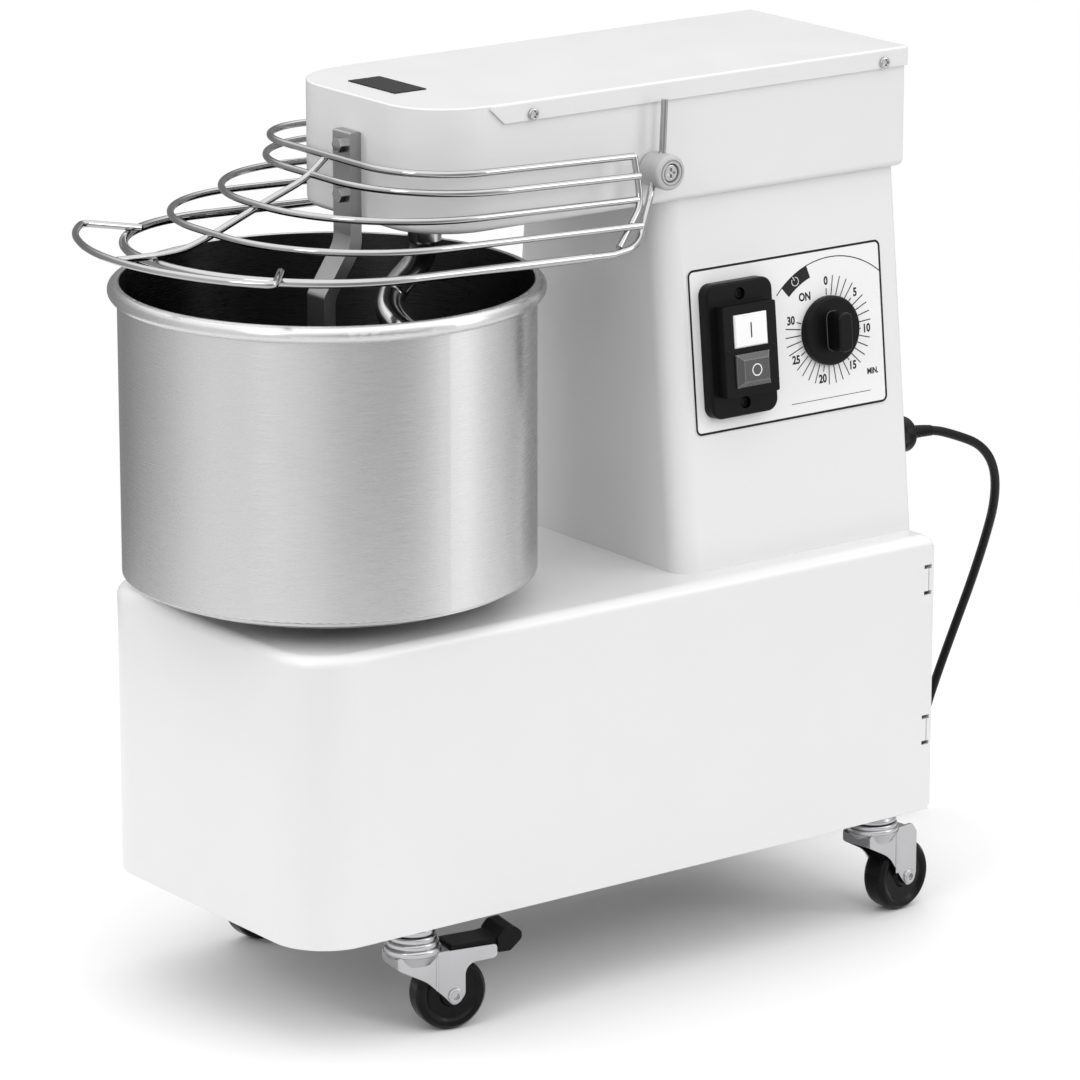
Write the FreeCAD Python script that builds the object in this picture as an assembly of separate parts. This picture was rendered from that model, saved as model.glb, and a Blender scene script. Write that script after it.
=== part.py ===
import FreeCAD, Part
import math
import os

os.makedirs("parts", exist_ok=True)

V = FreeCAD.Vector
X_AXIS = V(1, 0, 0)
Y_AXIS = V(0, 1, 0)
Z_AXIS = V(0, 0, 1)

# ---------------------------------------------------------------- driving sizes (mm)
# frame: +Z up, floor at z = 0, bowl towards -Y, control side towards +X
front_y = -255.6          # front face of the base; puts the origin under the middle of the machine
running_gap = 0.05        # radial gap of a shaft in its bearing
free_gap = 0.3            # gap between faces of pieces that move apart
sheet = 2.0               # casing sheet

base_width = 270.0
base_length = 561.0
base_height = 212.0
base_corner = 43.0
base_edge = 8.0
bottom_plate_thick = 3.0
frame_plate_thick = 6.0
frame_plate_drop = 10.0   # top of the frame plate, below the base top

castor_height = 81.0
castor_across = base_width - 38.0    # between the left and right swivels
castor_front = 100.4      # front swivels, behind the base front
castor_rear = base_length - 39.4     # rear swivels, behind the base front
castor_trail = 27.0
wheel_diameter = 54.0
wheel_width = 20.0
swivel_rest = {"fr": -10.5, "fl": 4.0, "rr": 8.4, "rl": -6.0}

head_width = 180.4
column_top_width = head_width - 12.2
column_foot_width = base_width - 45.2
column_back = base_length - 3.5      # behind the base front
column_front = column_back - 215.5
column_height = 270.0
column_corner = 17.0

head_front = 135.5
head_length = column_back + 5.5 - head_front
head_height = 89.0
head_corner = 48.0
lid_flange = 14.0
lid_notch = 188.0         # where the lid's side flange starts
lid_slant = 12.0          # length of its slanting front end

bowl_y = 113.0            # bowl axis, behind the base front
bowl_body_diameter = 294.8
bowl_rim_diameter = bowl_body_diameter + 15.6
bowl_rim_tube = 6.0
bowl_wall = 1.6
bowl_lift = 12.0          # foot ring above the base top
bowl_depth = 219.3        # foot ring to rim top
bowl_foot_diameter = bowl_body_diameter - 42.8
bowl_inner_corner = 26.0
bowl_shaft_diameter = 30.0
bowl_flange_diameter = 120.0

spiral_shaft_diameter = 24.0
spiral_rod = 20.0
spiral_sweep = 55.0       # largest reach of the rod's outer side from the spiral axis
spiral_wall_gap = 6.8     # between the sweeping rod and the bowl wall
spiral_y = bowl_y + bowl_body_diameter / 2 - bowl_wall - spiral_wall_gap - spiral_sweep
spiral_floor_gap = 6.0

bar_thick = 9.5
bar_width = 21.0
bar_floor_gap = 12.0

layshaft_y = column_front + 43.0
layshaft_diameter = 24.0
motor_y = column_back - 70.5
motor_diameter = 108.0
motor_length = 190.0
motor_shaft_diameter = 19.0

chain_pitch = 12.7
chain_plate_half = 4.0
chain_inner_width = 6.0
chain_plate = 1.2
roller_radius = 3.9
sprocket_thick = 5.0
bowl_sprocket_teeth = 50
drive_sprocket_teeth = 10
spiral_sprocket_teeth = 24
head_sprocket_teeth = 18
belt_thick = 7.0
belt_width = 9.0
big_pulley_radius = 58.0
motor_pulley_radius = 26.0

hub_y = column_front - 12.0          # guard hinge axis, behind the base front
hub_height = 509.5        # guard hinge axis, above the base bottom
hub_diameter = 25.6
hub_length = 23.0
guard_wire = 5.0
guard_ring_wire = 6.4
guard_rest_tilt = 2.0
# each hoop: half width, front (behind the base front), corner radius, height above the base bottom
guard_hoops = [
    (108.4, 111.0, 59.0, 523.6),
    (115.0, 100.0, 85.0, 510.7),
    (115.5, 53.0, 106.0, 494.0),
    (124.5, 16.0, 107.0, 477.3),
    (129.0, -28.0, 125.0, 460.1),
]

panel_y = column_back - 106.0        # middle of the control panel, behind the base front
panel_height = 370.3      # middle of the control panel, above the base bottom
panel_length = 179.0
panel_rise = 121.0
panel_thick = 0.8
switch_width = 60.0
switch_rise = 98.0
switch_depth = 10.0
switch_offset = -50.5     # middle of the switch plate from the panel middle
block_width = 48.0
block_rise = 66.0
block_depth = 10.0
button_width = 30.0
button_rise = 24.0
button_pitch = 28.5
button_travel = 4.0
knob_diameter = 51.0
knob_offset = 37.0
knob_disc = 6.0
knob_grip_depth = 15.0
knob_grip_rise = 29.0

cord_diameter = 7.0
gland_x = 88.0
gland_height = 278.0      # above the base bottom
gland_diameter = 27.0
gland_length = 17.0

# ---------------------------------------------------------------- places worked out from the sizes
base_z = castor_height
base_top = base_z + base_height
frame_top = base_top - frame_plate_drop
frame_bottom = frame_top - frame_plate_thick
head_z = base_top + column_height
head_top = head_z + head_height
head_floor = head_z + sheet
half_base = base_width / 2
half_head = head_width / 2
head_back = head_front + head_length
rear_y = front_y + base_length
bowl_centre = V(0, front_y + bowl_y, 0)
spiral_centre = V(0, front_y + spiral_y, 0)
layshaft_centre = V(0, front_y + layshaft_y, 0)
motor_centre = V(0, front_y + motor_y, 0)

# castors
cap_height = 6.0
stud_radius = 5.0
fork_inner = wheel_width / 2 + 1.5
fork_sheet = 2.0
fork_nose = 17.5
axle_radius = 4.0
wheel_axle_z = wheel_diameter / 2
plain_stack = 12.8        # height of the ball races between the base and a plain fork
braked_stack = 19.5       # the same for a fork with a brake
arm_end = 60.0            # rear end of the arms that carry the brake pedal
pedal_pivot_y = 44.0
pedal_pivot_z = castor_height - braked_stack - 5.0
pedal_pin = 2.0
pedal_pin_end = fork_inner + 1.2      # the pin ends inside the thickness of the fork arms

# base and its bearing housing
tab_heights = [base_z + 54.0, base_z + 170.0]
tab_rise = 17.0
tab_notch = 3.0
tab_groove = 0.8          # bend line along each tab
housing_radius = 38.0
housing_flange = 62.0
housing_flange_thick = frame_plate_drop - sheet
cover_screw = 2.0

# column
column_lean = math.degrees(math.atan((column_foot_width - column_top_width) / 2 / column_height))
back_window = (55.0, base_top + 20.0, head_z - 22.0)
switch_screw_radius = 1.8
gland_z = base_z + gland_height
gland_thread = 9.0
back_screw_rows = (back_window[1] - 4.5, (back_window[1] + back_window[2]) / 2 + 6.0, back_window[2] + 4.5)
back_screws = [(sx * (back_window[0] + 4.5), z) for sx in (-1, 1) for z in back_screw_rows]
timer_neck = 5.0
panel_z = base_z + panel_height

# head and drive levels
plate_top = head_floor + frame_plate_thick
hub_z = base_z + hub_height
pivot_radius = 4.0
spiral_housing_radius = 30.0
lid_screw_rows = [224.0, 541.0]
lid_screw_z = base_z + 561.3
bearing_flange_thick = 8.0
bearing_height = 18.0
spiral_housing_top = plate_top + 26.0
chain_high_z = spiral_housing_top + free_gap + sprocket_thick / 2
sprocket_high_z = chain_high_z - sprocket_thick / 2
motor_plate_thick = 6.0
motor_foot = frame_top + motor_plate_thick
motor_radius = motor_diameter / 2
belt_half = belt_width / 2

# bowl levels
bowl_foot_z = base_top + bowl_lift
bowl_seat_z = bowl_foot_z + 10.0
bowl_floor_z = bowl_seat_z + 2 * bowl_wall
bowl_rim_z = bowl_foot_z + bowl_depth
bowl_body_z = bowl_foot_z + 9.0
housing_top = bowl_seat_z - 8.0 - free_gap
chain_low_z = frame_bottom - 36.0
pulley_z = frame_bottom - 13.0
sprocket_low_z = chain_low_z - sprocket_thick / 2

# breaker bar
bar_bolt = 3.0
bar_bolt_heights = [base_z + 501.0, base_z + 536.5]
bar_step = 23.0
bar_step_top = base_z + 465.0
bar_step_low = base_z + 430.5
bar_top = base_z + 546.3

# guard wires, as points of (x, behind the base front, above the floor)
hub_start = half_head + free_gap
hub_middle = hub_start + hub_length / 2
guard_bar = [(108.4, 300.0, 523.6), (113.0, 301.0, 505.0), (117.0, 300.0, 490.0), (126.5, 275.0, 464.0)]
guard_arm = [(129.0, 268.0, 460.1), (127.5, 290.0, 463.0), (hub_middle + 2, 319.0, 493.0),
             (hub_middle, 322.3, 505.0), (hub_middle, 323.0, 513.5), (hub_middle, 330.0, 520.0),
             (hub_middle, 330.5, 560.5)]
grip_level = guard_hoops[4][3] + guard_ring_wire / 2 + guard_wire / 2 - 0.4
grip_front = -61.0
guard_rib = [(0, 112.0, 521.5), (0, 96.0, 508.0), (0, 53.0, 490.5), (0, 14.0, 473.5), (0, -5.0, 467.0),
             (0, -24.0, grip_level), (0, grip_front + 2, grip_level)]
grip_side = [(86.0, 17.0), (120.5, -11.0), (96.3, -35.1), (33.8, grip_front)]
grip_radii = [0, 5.5, 140, 165]

# switch and timer
block_face = panel_thick + switch_depth + block_depth
pocket_floor = panel_thick + switch_depth - 4.0
timer_stem = 3.0

# coiled cord
coil_turn = 48.5          # middle line of the outermost turn
coil_inner = 33.5         # middle line of the innermost turn
coil_height = 2 * cord_diameter + 0.5
cord_radius = cord_diameter / 2
stub = 28.0               # straight stretch where the cord joins or leaves the coil


def at_y(offset):
    return front_y + offset


def save(shape, name):
    shape.exportStep("parts/" + name + ".step")
    print(name, len(shape.Solids), "solids", round(shape.Volume / 1000, 1), "cm3")


def group(shapes):
    return Part.makeCompound(shapes)


def box(x0, x1, y0, y1, z0, z1):
    return Part.makeBox(x1 - x0, y1 - y0, z1 - z0, V(x0, y0, z0))


def side_box(side, x0, x1, y0, y1, z0, z1):
    """Box given for the +X side, or its mirror image for side -1."""
    return box(min(side * x0, side * x1), max(side * x0, side * x1), y0, y1, z0, z1)


def rod(radius, z0, z1, centre):
    return Part.makeCylinder(radius, z1 - z0, V(centre.x, centre.y, z0))


def rounded_outline(x0, x1, y0, y1, z, front_radius, back_radius):
    """Closed wire of a rectangle whose front and back corners are rounded."""
    corners = [
        (x0, y0, front_radius, 1, 1),
        (x1, y0, front_radius, -1, 1),
        (x1, y1, back_radius, -1, -1),
        (x0, y1, back_radius, 1, -1),
    ]
    ends = []
    for index, (x, y, radius, dx, dy) in enumerate(corners):
        along_x = V(x + dx * radius, y, z)
        along_y = V(x, y + dy * radius, z)
        centre = V(x + dx * radius, y + dy * radius, z)
        middle = centre + V(-dx, -dy, 0) * (radius / math.sqrt(2))
        pair = (along_y, middle, along_x) if index % 2 == 0 else (along_x, middle, along_y)
        ends.append(pair)
    edges = []
    for index, (start, middle, end) in enumerate(ends):
        edges.append(Part.Arc(start, middle, end).toShape())
        edges.append(Part.LineSegment(end, ends[(index + 1) % 4][0]).toShape())
    return Part.Wire(edges)


def rounded_block(x0, x1, y0, y1, z0, z1, front_radius, back_radius):
    outline = rounded_outline(x0, x1, y0, y1, z0, front_radius, back_radius)
    return Part.Face(outline).extrude(V(0, 0, z1 - z0))


def edges_at(shape, z):
    """Edges that lie flat at height z."""
    found = []
    for edge in shape.Edges:
        box_ = edge.BoundBox
        if abs(box_.ZMin - z) < 1e-4 and abs(box_.ZMax - z) < 1e-4:
            found.append(edge)
    return found


def revolve(points, centre, radii=None):
    """Solid of revolution about a vertical axis; points are (radius, height)."""
    wire = fillet_path([V(r, 0, z) for r, z in points], radii or [0] * len(points), closed=True)
    solid = Part.Face(wire).revolve(V(0, 0, 0), Z_AXIS, 360)
    solid.translate(V(centre.x, centre.y, 0))
    return solid


def fillet_path(points, radii, closed=False):
    """Wire of straight runs joined by tangent arcs; radii holds one radius per point."""
    count = len(points)
    starts = {}
    edges = []
    for index in range(count):
        if radii[index] and (closed or 0 < index < count - 1):
            before = (points[index - 1] - points[index]).normalize()
            after = (points[(index + 1) % count] - points[index]).normalize()
            turn = math.pi - before.getAngle(after)
            reach = radii[index] * math.tan(turn / 2)
            enter = points[index] + before * reach
            leave = points[index] + after * reach
            bisector = (before + after).normalize()
            centre = points[index] + bisector * (radii[index] / math.cos(turn / 2))
            middle = centre - bisector * radii[index]
            starts[index] = (enter, leave, Part.Arc(enter, middle, leave).toShape())
        else:
            starts[index] = (points[index], points[index], None)
    last = count if closed else count - 1
    for index in range(count):
        if starts[index][2] is not None:
            edges.append(starts[index][2])
        if index < last:
            start = starts[index][1]
            end = starts[(index + 1) % count][0]
            if start.distanceToPoint(end) > 1e-6:
                edges.append(Part.LineSegment(start, end).toShape())
    return Part.Wire(Part.__sortEdges__(edges))


def run_radii(points):
    """Largest tangent arc that each inner point's two runs allow."""
    radii = [0]
    for index in range(1, len(points) - 1):
        before = points[index - 1] - points[index]
        after = points[index + 1] - points[index]
        turn = math.pi - before.getAngle(after)
        radii.append(0.45 * min(before.Length, after.Length) / math.tan(turn / 2))
    return radii + [0]


def tube_along(path, diameter):
    """Round solid swept along a wire."""
    edge = path.OrderedEdges[0]
    start = edge.valueAt(edge.FirstParameter)
    direction = edge.tangentAt(edge.FirstParameter)
    if edge.Orientation == "Reversed":
        start = edge.valueAt(edge.LastParameter)
        direction = edge.tangentAt(edge.LastParameter) * -1
    circle = Part.Wire([Part.makeCircle(diameter / 2, start, direction)])
    sweep = Part.BRepOffsetAPI.MakePipeShell(path)
    sweep.add(circle)
    sweep.setTransitionMode(1)
    sweep.build()
    sweep.makeSolid()
    return sweep.shape()


def loop_outline(centre_a, radius_a, centre_b, radius_b, z):
    """Open belt line round two circles that lie one behind the other along Y."""
    gap = centre_b.y - centre_a.y
    lean = math.asin((radius_a - radius_b) / gap)
    side = V(math.cos(lean), math.sin(lean), 0)
    mirror = V(-side.x, side.y, 0)
    a = V(centre_a.x, centre_a.y, z)
    b = V(centre_b.x, centre_b.y, z)
    edges = [
        Part.Arc(a + side * radius_a, a + V(0, -radius_a, 0), a + mirror * radius_a).toShape(),
        Part.LineSegment(a + mirror * radius_a, b + mirror * radius_b).toShape(),
        Part.Arc(b + mirror * radius_b, b + V(0, radius_b, 0), b + side * radius_b).toShape(),
        Part.LineSegment(b + side * radius_b, a + side * radius_a).toShape(),
    ]
    return Part.Wire(edges)


def loop_band(centre_a, radius_a, centre_b, radius_b, z0, z1, thick):
    inner = Part.Face(loop_outline(centre_a, radius_a, centre_b, radius_b, z0))
    outer = Part.Face(loop_outline(centre_a, radius_a + thick, centre_b, radius_b + thick, z0))
    return outer.cut(inner).extrude(V(0, 0, z1 - z0))


def sprocket_radius(teeth):
    return chain_pitch / (2 * math.sin(math.pi / teeth))


def sprocket(teeth, z, centre, bore, hub_radius, hub_height_):
    """Toothed disc with a hub on its upper side."""
    pitch = sprocket_radius(teeth)
    disc = rod(pitch + chain_plate_half, z, z + sprocket_thick, centre)
    seats = []
    for tooth in range(teeth):
        angle = 2 * math.pi * tooth / teeth
        seat = centre + V(math.cos(angle), math.sin(angle), 0) * pitch
        seats.append(rod(roller_radius + 0.2, z - 1, z + sprocket_thick + 1, seat))
    disc = disc.cut(seats)
    hub = rod(hub_radius, z, z + hub_height_, centre)
    return disc.fuse(hub).cut(rod(bore, z - 1, z + hub_height_ + 1, centre)).removeSplitter()


def chain(centre_a, teeth_a, centre_b, teeth_b, z_mid):
    """Roller chain: two plate bands held together by the rollers of its free strands."""
    radius_a = sprocket_radius(teeth_a)
    radius_b = sprocket_radius(teeth_b)
    half = chain_inner_width / 2
    plates = []
    for z0 in (z_mid - half - chain_plate, z_mid + half):
        plates.append(loop_band(centre_a, radius_a - chain_plate_half, centre_b,
                                radius_b - chain_plate_half, z0, z0 + chain_plate, 2 * chain_plate_half))
    gap = centre_b.y - centre_a.y
    lean = math.asin((radius_a - radius_b) / gap)
    strand = math.sqrt(gap ** 2 - (radius_a - radius_b) ** 2)
    clear = chain_plate_half + roller_radius + free_gap
    first = math.sqrt((radius_a + clear) ** 2 - radius_a ** 2)
    last = strand - math.sqrt((radius_b + clear) ** 2 - radius_b ** 2)
    count = int((last - first) / chain_pitch)
    rollers = []
    for side in (1, -1):
        normal = V(side * math.cos(lean), math.sin(lean), 0)
        along = V(-side * math.sin(lean), math.cos(lean), 0)
        start = centre_a + normal * radius_a
        for step in range(count + 1):
            spot = start + along * (first + step * chain_pitch)
            rollers.append(rod(roller_radius, z_mid - half, z_mid + half, spot))
    return plates[0].fuse([plates[1]] + rollers)


def grooved_pulley(radius, z_mid, height, centre, bore, spokes=0):
    """Pulley whose groove holds the belt with a small gap all round."""
    half = height / 2
    groove_half = belt_width / 2 + free_gap
    body = revolve([
        (bore, z_mid - half), (radius + belt_thick, z_mid - half), (radius + belt_thick, z_mid - groove_half),
        (radius, z_mid - groove_half), (radius, z_mid + groove_half),
        (radius + belt_thick, z_mid + groove_half), (radius + belt_thick, z_mid + half), (bore, z_mid + half),
    ], centre)
    holes = []
    for index in range(spokes):
        angle = 2 * math.pi * index / spokes
        spot = centre + V(math.cos(angle), math.sin(angle), 0) * (radius * 0.58)
        holes.append(rod(radius * 0.22, z_mid - half - 1, z_mid + half + 1, spot))
    return body.cut(holes) if holes else body


def pan_screw(head_radius, head_height_, shank_radius, length):
    """Screw along +X: head outside x = 0, shank inside it, with a crossed recess."""
    head = Part.makeCylinder(head_radius, head_height_, V(0, 0, 0), X_AXIS)
    head = head.makeFillet(head_height_ * 0.45, [e for e in head.Edges if e.BoundBox.XMin > head_height_ - 1e-3])
    slot = head_radius * 0.28
    reach = head_radius * 0.62
    depth = head_height_ * 0.5
    for size_y, size_z in ((reach, slot), (slot, reach)):
        head = head.cut(box(head_height_ - depth, head_height_ + 1, -size_y, size_y, -size_z, size_z))
    return head.fuse(Part.makeCylinder(shank_radius, length, V(-length, 0, 0), X_AXIS))


def turned(shape, axis, angle, origin=V(0, 0, 0)):
    copy = shape.copy()
    copy.rotate(origin, axis, angle)
    return copy


def moved(shape, offset):
    copy = shape.copy()
    copy.translate(offset)
    return copy


# ---------------------------------------------------------------- castors
def castor_spot(name):
    x = castor_across / 2 * (1 if name[1] == "r" else -1)
    y = at_y(castor_front if name[0] == "f" else castor_rear)
    return V(x, y, 0)


castor_names = list(swivel_rest)


def bead(radius, z0, z1, top_radius=None):
    """Round ring with soft edges."""
    ring = rod(radius, z0, z1, V(0, 0, 0))
    if top_radius:
        ring = Part.makeCone(radius, top_radius, z1 - z0, V(0, 0, z0))
    rims = [e for e in ring.Edges if e.BoundBox.ZLength < 1e-3]
    return ring.makeFillet((z1 - z0) * 0.35, rims)


def fork_level(braked):
    return castor_height - (braked_stack if braked else plain_stack)


def castor_top(spot, braked):
    """Fixed upper race cap with its stud, and the king pin head under the fork."""
    if braked:
        cap = bead(16.5, castor_height - cap_height, castor_height)
    else:
        cap = bead(19.0, castor_height - cap_height, castor_height, 16.5)
    pin_foot = fork_level(braked) - fork_sheet - free_gap
    stud = rod(stud_radius, pin_foot, castor_height + 16, V(0, 0, 0))
    foot = rod(7.5, pin_foot - 2.2, pin_foot, V(0, 0, 0))
    return moved(cap.fuse([stud, foot]), spot)


def castor_nut(spot):
    corner = 8.2
    hexagon = Part.makePolygon([
        spot + V(corner * math.cos(math.pi / 3 * k), corner * math.sin(math.pi / 3 * k),
                 castor_height + bottom_plate_thick) for k in range(7)])
    nut = Part.Face(hexagon).extrude(V(0, 0, 8))
    return nut.cut(rod(stud_radius, castor_height, castor_height + 20, spot))


def fork_side(top, braked):
    """Outline of one fork side in the Y-Z plane."""
    rear = castor_trail + 8.0
    points = [V(0, -fork_nose, top)]
    radii = [2]
    if braked:
        points += [V(0, arm_end, top - 0.5), V(0, arm_end, top - 10.5), V(0, rear, top - 11.5)]
        radii += [3, 3, 9]
    else:
        points += [V(0, rear - 5, top), V(0, rear, top - 7)]
        radii += [3, 4]
    points += [V(0, rear, wheel_axle_z), V(0, castor_trail, wheel_axle_z - 9), V(0, castor_trail - 8, wheel_axle_z),
               V(0, 5.0, top - 21.0), V(0, -fork_nose, top - 9.0)]
    radii += [7, 5, 7, 30, 4]
    return fillet_path(points, radii, closed=True)


def castor_fork(braked):
    """Pressed fork, trailing towards +Y, about its own swivel axis."""
    top = fork_level(braked)
    gap_level = castor_height - cap_height - free_gap
    if braked:
        beads = [bead(20.5, top - 1, top + 4.6), bead(18.8, top + 4.2, top + 9.0), bead(17.4, top + 8.6, gap_level)]
    else:
        beads = [bead(19.5, top - 1, top + 3.4), bead(18.6, top + 3.0, gap_level)]
    outer = fork_inner + fork_sheet
    plate = Part.Face(fork_side(top, braked)).extrude(V(fork_sheet, 0, 0))
    sides = [moved(plate, V(fork_inner, 0, 0)), moved(plate, V(-outer, 0, 0))]
    crown = rounded_block(-outer, outer, -fork_nose, 24.0, top - fork_sheet, top, 8, 3)
    shoulder = Part.makeCone(15.5, 20.0, 8.0, V(0, 0, top - 8.0))
    shoulder = shoulder.cut(box(-fork_inner, fork_inner, -fork_nose + 1.0, 40, top - 20, top - fork_sheet))
    nose = box(-fork_inner, fork_inner, -fork_nose, -fork_nose + 2, top - 9.0, top - fork_sheet)
    creases = []
    for x in (-outer, outer):
        creases.append(Part.makeCylinder(1.0, top - 36.0, V(x, 13.0, 33.0)))
    fork = beads[0].fuse(beads[1:] + sides + [crown, shoulder, nose] + creases)
    bolt_hole = Part.makeCylinder(stud_radius + running_gap, 40, V(0, 0, top - 10))
    axle_hole = Part.makeCylinder(axle_radius, 80, V(-40, castor_trail, wheel_axle_z), X_AXIS)
    pin_radius = pedal_pin + running_gap
    pin_reach = pedal_pin_end + running_gap
    pin_hole = Part.makeCylinder(pin_radius, 2 * pin_reach, V(-pin_reach, pedal_pivot_y, pedal_pivot_z), X_AXIS)
    fork = fork.cut([bolt_hole, axle_hole] + ([pin_hole] if braked else []))
    axle = Part.makeCylinder(axle_radius, 2 * outer + 4, V(-outer - 2, castor_trail, wheel_axle_z), X_AXIS)
    heads = []
    for x in (outer, -outer - 1.6):
        ring = Part.makeCylinder(5.6, 1.6, V(x, castor_trail, wheel_axle_z), X_AXIS)
        heads.append(ring.makeFillet(0.7, [e for e in ring.Edges if abs(e.CenterOfMass.x) > outer + 1.0]))
    cups = [Part.makeCylinder(2.6, 3, V(x, castor_trail, wheel_axle_z), X_AXIS) for x in (outer, -outer - 3)]
    return fork, axle.fuse(heads).cut(cups)


def castor_wheel():
    """Solid wheel with rounded tread and dished sides, about the X axis."""
    radius = wheel_diameter / 2
    half = wheel_width / 2
    bore = axle_radius + running_gap
    side = [(half, bore), (half, 8.5), (half - 2.2, 10.0), (half - 2.2, radius - 8.5), (half - 0.6, radius - 6.5),
            (half, radius - 5.0), (half, radius - 3.0), (half - 2.5, radius - 0.6), (half - 5.0, radius)]
    points = [V(x, 0, r) for x, r in side]
    points += [V(-x, 0, r) for x, r in side[::-1]]
    wheel = Part.Face(Part.makePolygon(points + [points[0]])).revolve(V(0, 0, 0), X_AXIS, 360)
    return moved(wheel, V(0, castor_trail, wheel_axle_z))


def castor_pedal():
    """Brake pedal between the fork arms, hinged on the X axis."""
    half = fork_inner - free_gap
    z = pedal_pivot_z
    stem_points = [V(0, 25, z + 4.5), V(0, 25, z + 7.6), V(0, 53, z + 8.0), V(0, 61, z + 9), V(0, 61, z - 1),
                   V(0, 52, z - 2.4), V(0, 37, z - 2.4)]
    stem_outline = fillet_path(stem_points, [1.2, 1.2, 0, 0, 0, 3, 3], closed=True)
    stem = moved(Part.Face(stem_outline).extrude(V(2 * half, 0, 0)), V(-half, 0, 0))
    pad_points = [V(0, arm_end + free_gap, z + 9), V(0, 65, z + 14.5), V(0, 74, z + 15.5), V(0, 79, z + 11),
                  V(0, 79, z + 6), V(0, 70, z - 2), V(0, arm_end + free_gap, z - 2)]
    pad_outline = fillet_path(pad_points, [2, 4, 4, 3, 4, 3, 1], closed=True)
    pad_half = 14.0
    pad = moved(Part.Face(pad_outline).extrude(V(2 * pad_half, 0, 0)), V(-pad_half, 0, 0))
    pin = Part.makeCylinder(pedal_pin, 2 * pedal_pin_end, V(-pedal_pin_end, pedal_pivot_y, pedal_pivot_z), X_AXIS)
    return stem.fuse([pad, pin])


studs = []
nuts = []
for name in castor_names:
    spot = castor_spot(name)
    studs.append(castor_top(spot, name[0] == "f"))
    nuts.append(castor_nut(spot))
    fork, axle = castor_fork(name[0] == "f")
    pieces = {"castor_fork_" + name: group([fork, axle]), "castor_wheel_" + name: castor_wheel()}
    if name[0] == "f":
        pieces["castor_pedal_" + name] = castor_pedal()
    for node, shape in pieces.items():
        placed = moved(turned(shape, Z_AXIS, swivel_rest[name]), spot)
        save(placed, node)
save(group(studs), "castor_caps")
save(group(nuts), "castor_nuts")


# ---------------------------------------------------------------- base


def base_shell():
    """Folded casing, open below and behind, with softly bent top edges."""
    y0 = at_y(0)
    outer = rounded_block(-half_base, half_base, y0, rear_y, base_z, base_top, base_corner, 2.0)
    top_edges = [e for e in edges_at(outer, base_top) if e.BoundBox.YMin < rear_y - 10]
    outer = outer.makeFillet(base_edge, top_edges)
    inner = rounded_block(-half_base + sheet, half_base - sheet, y0 + sheet, rear_y + 1,
                          base_z - 1, base_top - sheet, base_corner - sheet, 0.5)
    inner_top = [e for e in edges_at(inner, base_top - sheet) if e.BoundBox.YMin < rear_y - 10]
    inner = inner.makeFillet(base_edge - sheet, inner_top)
    shell = outer.cut(inner)
    bowl_hole = rod(housing_radius + 2, base_top - 5, base_top + 1, bowl_centre)
    column_hole = box(-70, 70, at_y(column_front + 15), at_y(column_back - 15), base_top - 5, base_top + 1)
    behind = box(-half_base - 1, half_base + 1, rear_y - sheet, rear_y + 2, base_z - 1, base_top - base_edge)
    shell = shell.cut([bowl_hole, column_hole, behind])
    tabs = []
    notches = []
    for side in (-1, 1):
        for low in tab_heights:
            tabs.append(side_box(side, half_base - 28, half_base - sheet / 2, rear_y - 2 * sheet, rear_y - sheet,
                                 low, low + tab_rise))
            for z0 in (low - tab_notch, low + tab_rise):
                notches.append(side_box(side, half_base - 3, half_base + 1, rear_y - 9, rear_y, z0, z0 + tab_notch))
            notches.append(side_box(side, half_base - sheet / 2, half_base + 1, rear_y - 5, rear_y - 5 + tab_groove,
                                    low, low + tab_rise))
    return shell.fuse(tabs).cut(notches + rear_screw_holes()).removeSplitter()


def rear_cover():
    """Flat cover plate screwed to the four tabs of the base."""
    z0 = base_z + bottom_plate_thick + free_gap
    z1 = base_top - base_edge - free_gap
    cover = box(-half_base, half_base, rear_y - sheet, rear_y, z0, z1)
    slots = []
    for row in range(7):
        z = base_z + 60 + row * 14
        for side in (-1, 1):
            slots.append(box(side * 48 - 32, side * 48 + 32, rear_y - 5, rear_y + 1, z, z + 4))
    return cover.cut(slots + rear_screw_holes())


def rear_screw_holes():
    return [Part.makeCylinder(cover_screw, 20, V(x, rear_y - 10, z), Y_AXIS) for x, z in rear_cover_screws]


rear_cover_screws = [(sx * (half_base - 17), z + tab_rise / 2) for sx in (-1, 1) for z in tab_heights]


def bottom_plate():
    inset = sheet
    x1 = half_base - inset
    plate = rounded_block(-x1, x1, at_y(inset), rear_y - sheet, base_z, base_z + bottom_plate_thick,
                          base_corner - inset, 0.5)
    holes = [rod(stud_radius, base_z - 1, base_z + 10, castor_spot(name)) for name in castor_names]
    return plate.cut(holes)


def frame_plate():
    """Plate inside the base that carries the bowl, the lay shaft and the motor."""
    x1 = half_base - sheet
    plate = rounded_block(-x1, x1, at_y(sheet), rear_y - 16, frame_bottom, frame_top, base_corner - sheet, 0.5)
    holes = [
        rod(housing_radius, frame_bottom - 1, frame_top + 1, bowl_centre),
        rod(layshaft_diameter / 2 + 3, frame_bottom - 1, frame_top + 1, layshaft_centre),
        rod(motor_shaft_diameter / 2 + 8, frame_bottom - 1, frame_top + 1, motor_centre),
    ]
    return plate.cut(holes)


save(base_shell(), "base_shell")
save(bottom_plate(), "base_bottom_plate")
save(frame_plate(), "base_frame_plate")
save(rear_cover(), "base_rear_cover")


# ---------------------------------------------------------------- column
def column_half(z):
    """Half width of the tapering column at a height."""
    share = (z - base_top) / column_height
    return (column_foot_width + (column_top_width - column_foot_width) * share) / 2


column_back_y = at_y(column_back)


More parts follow.
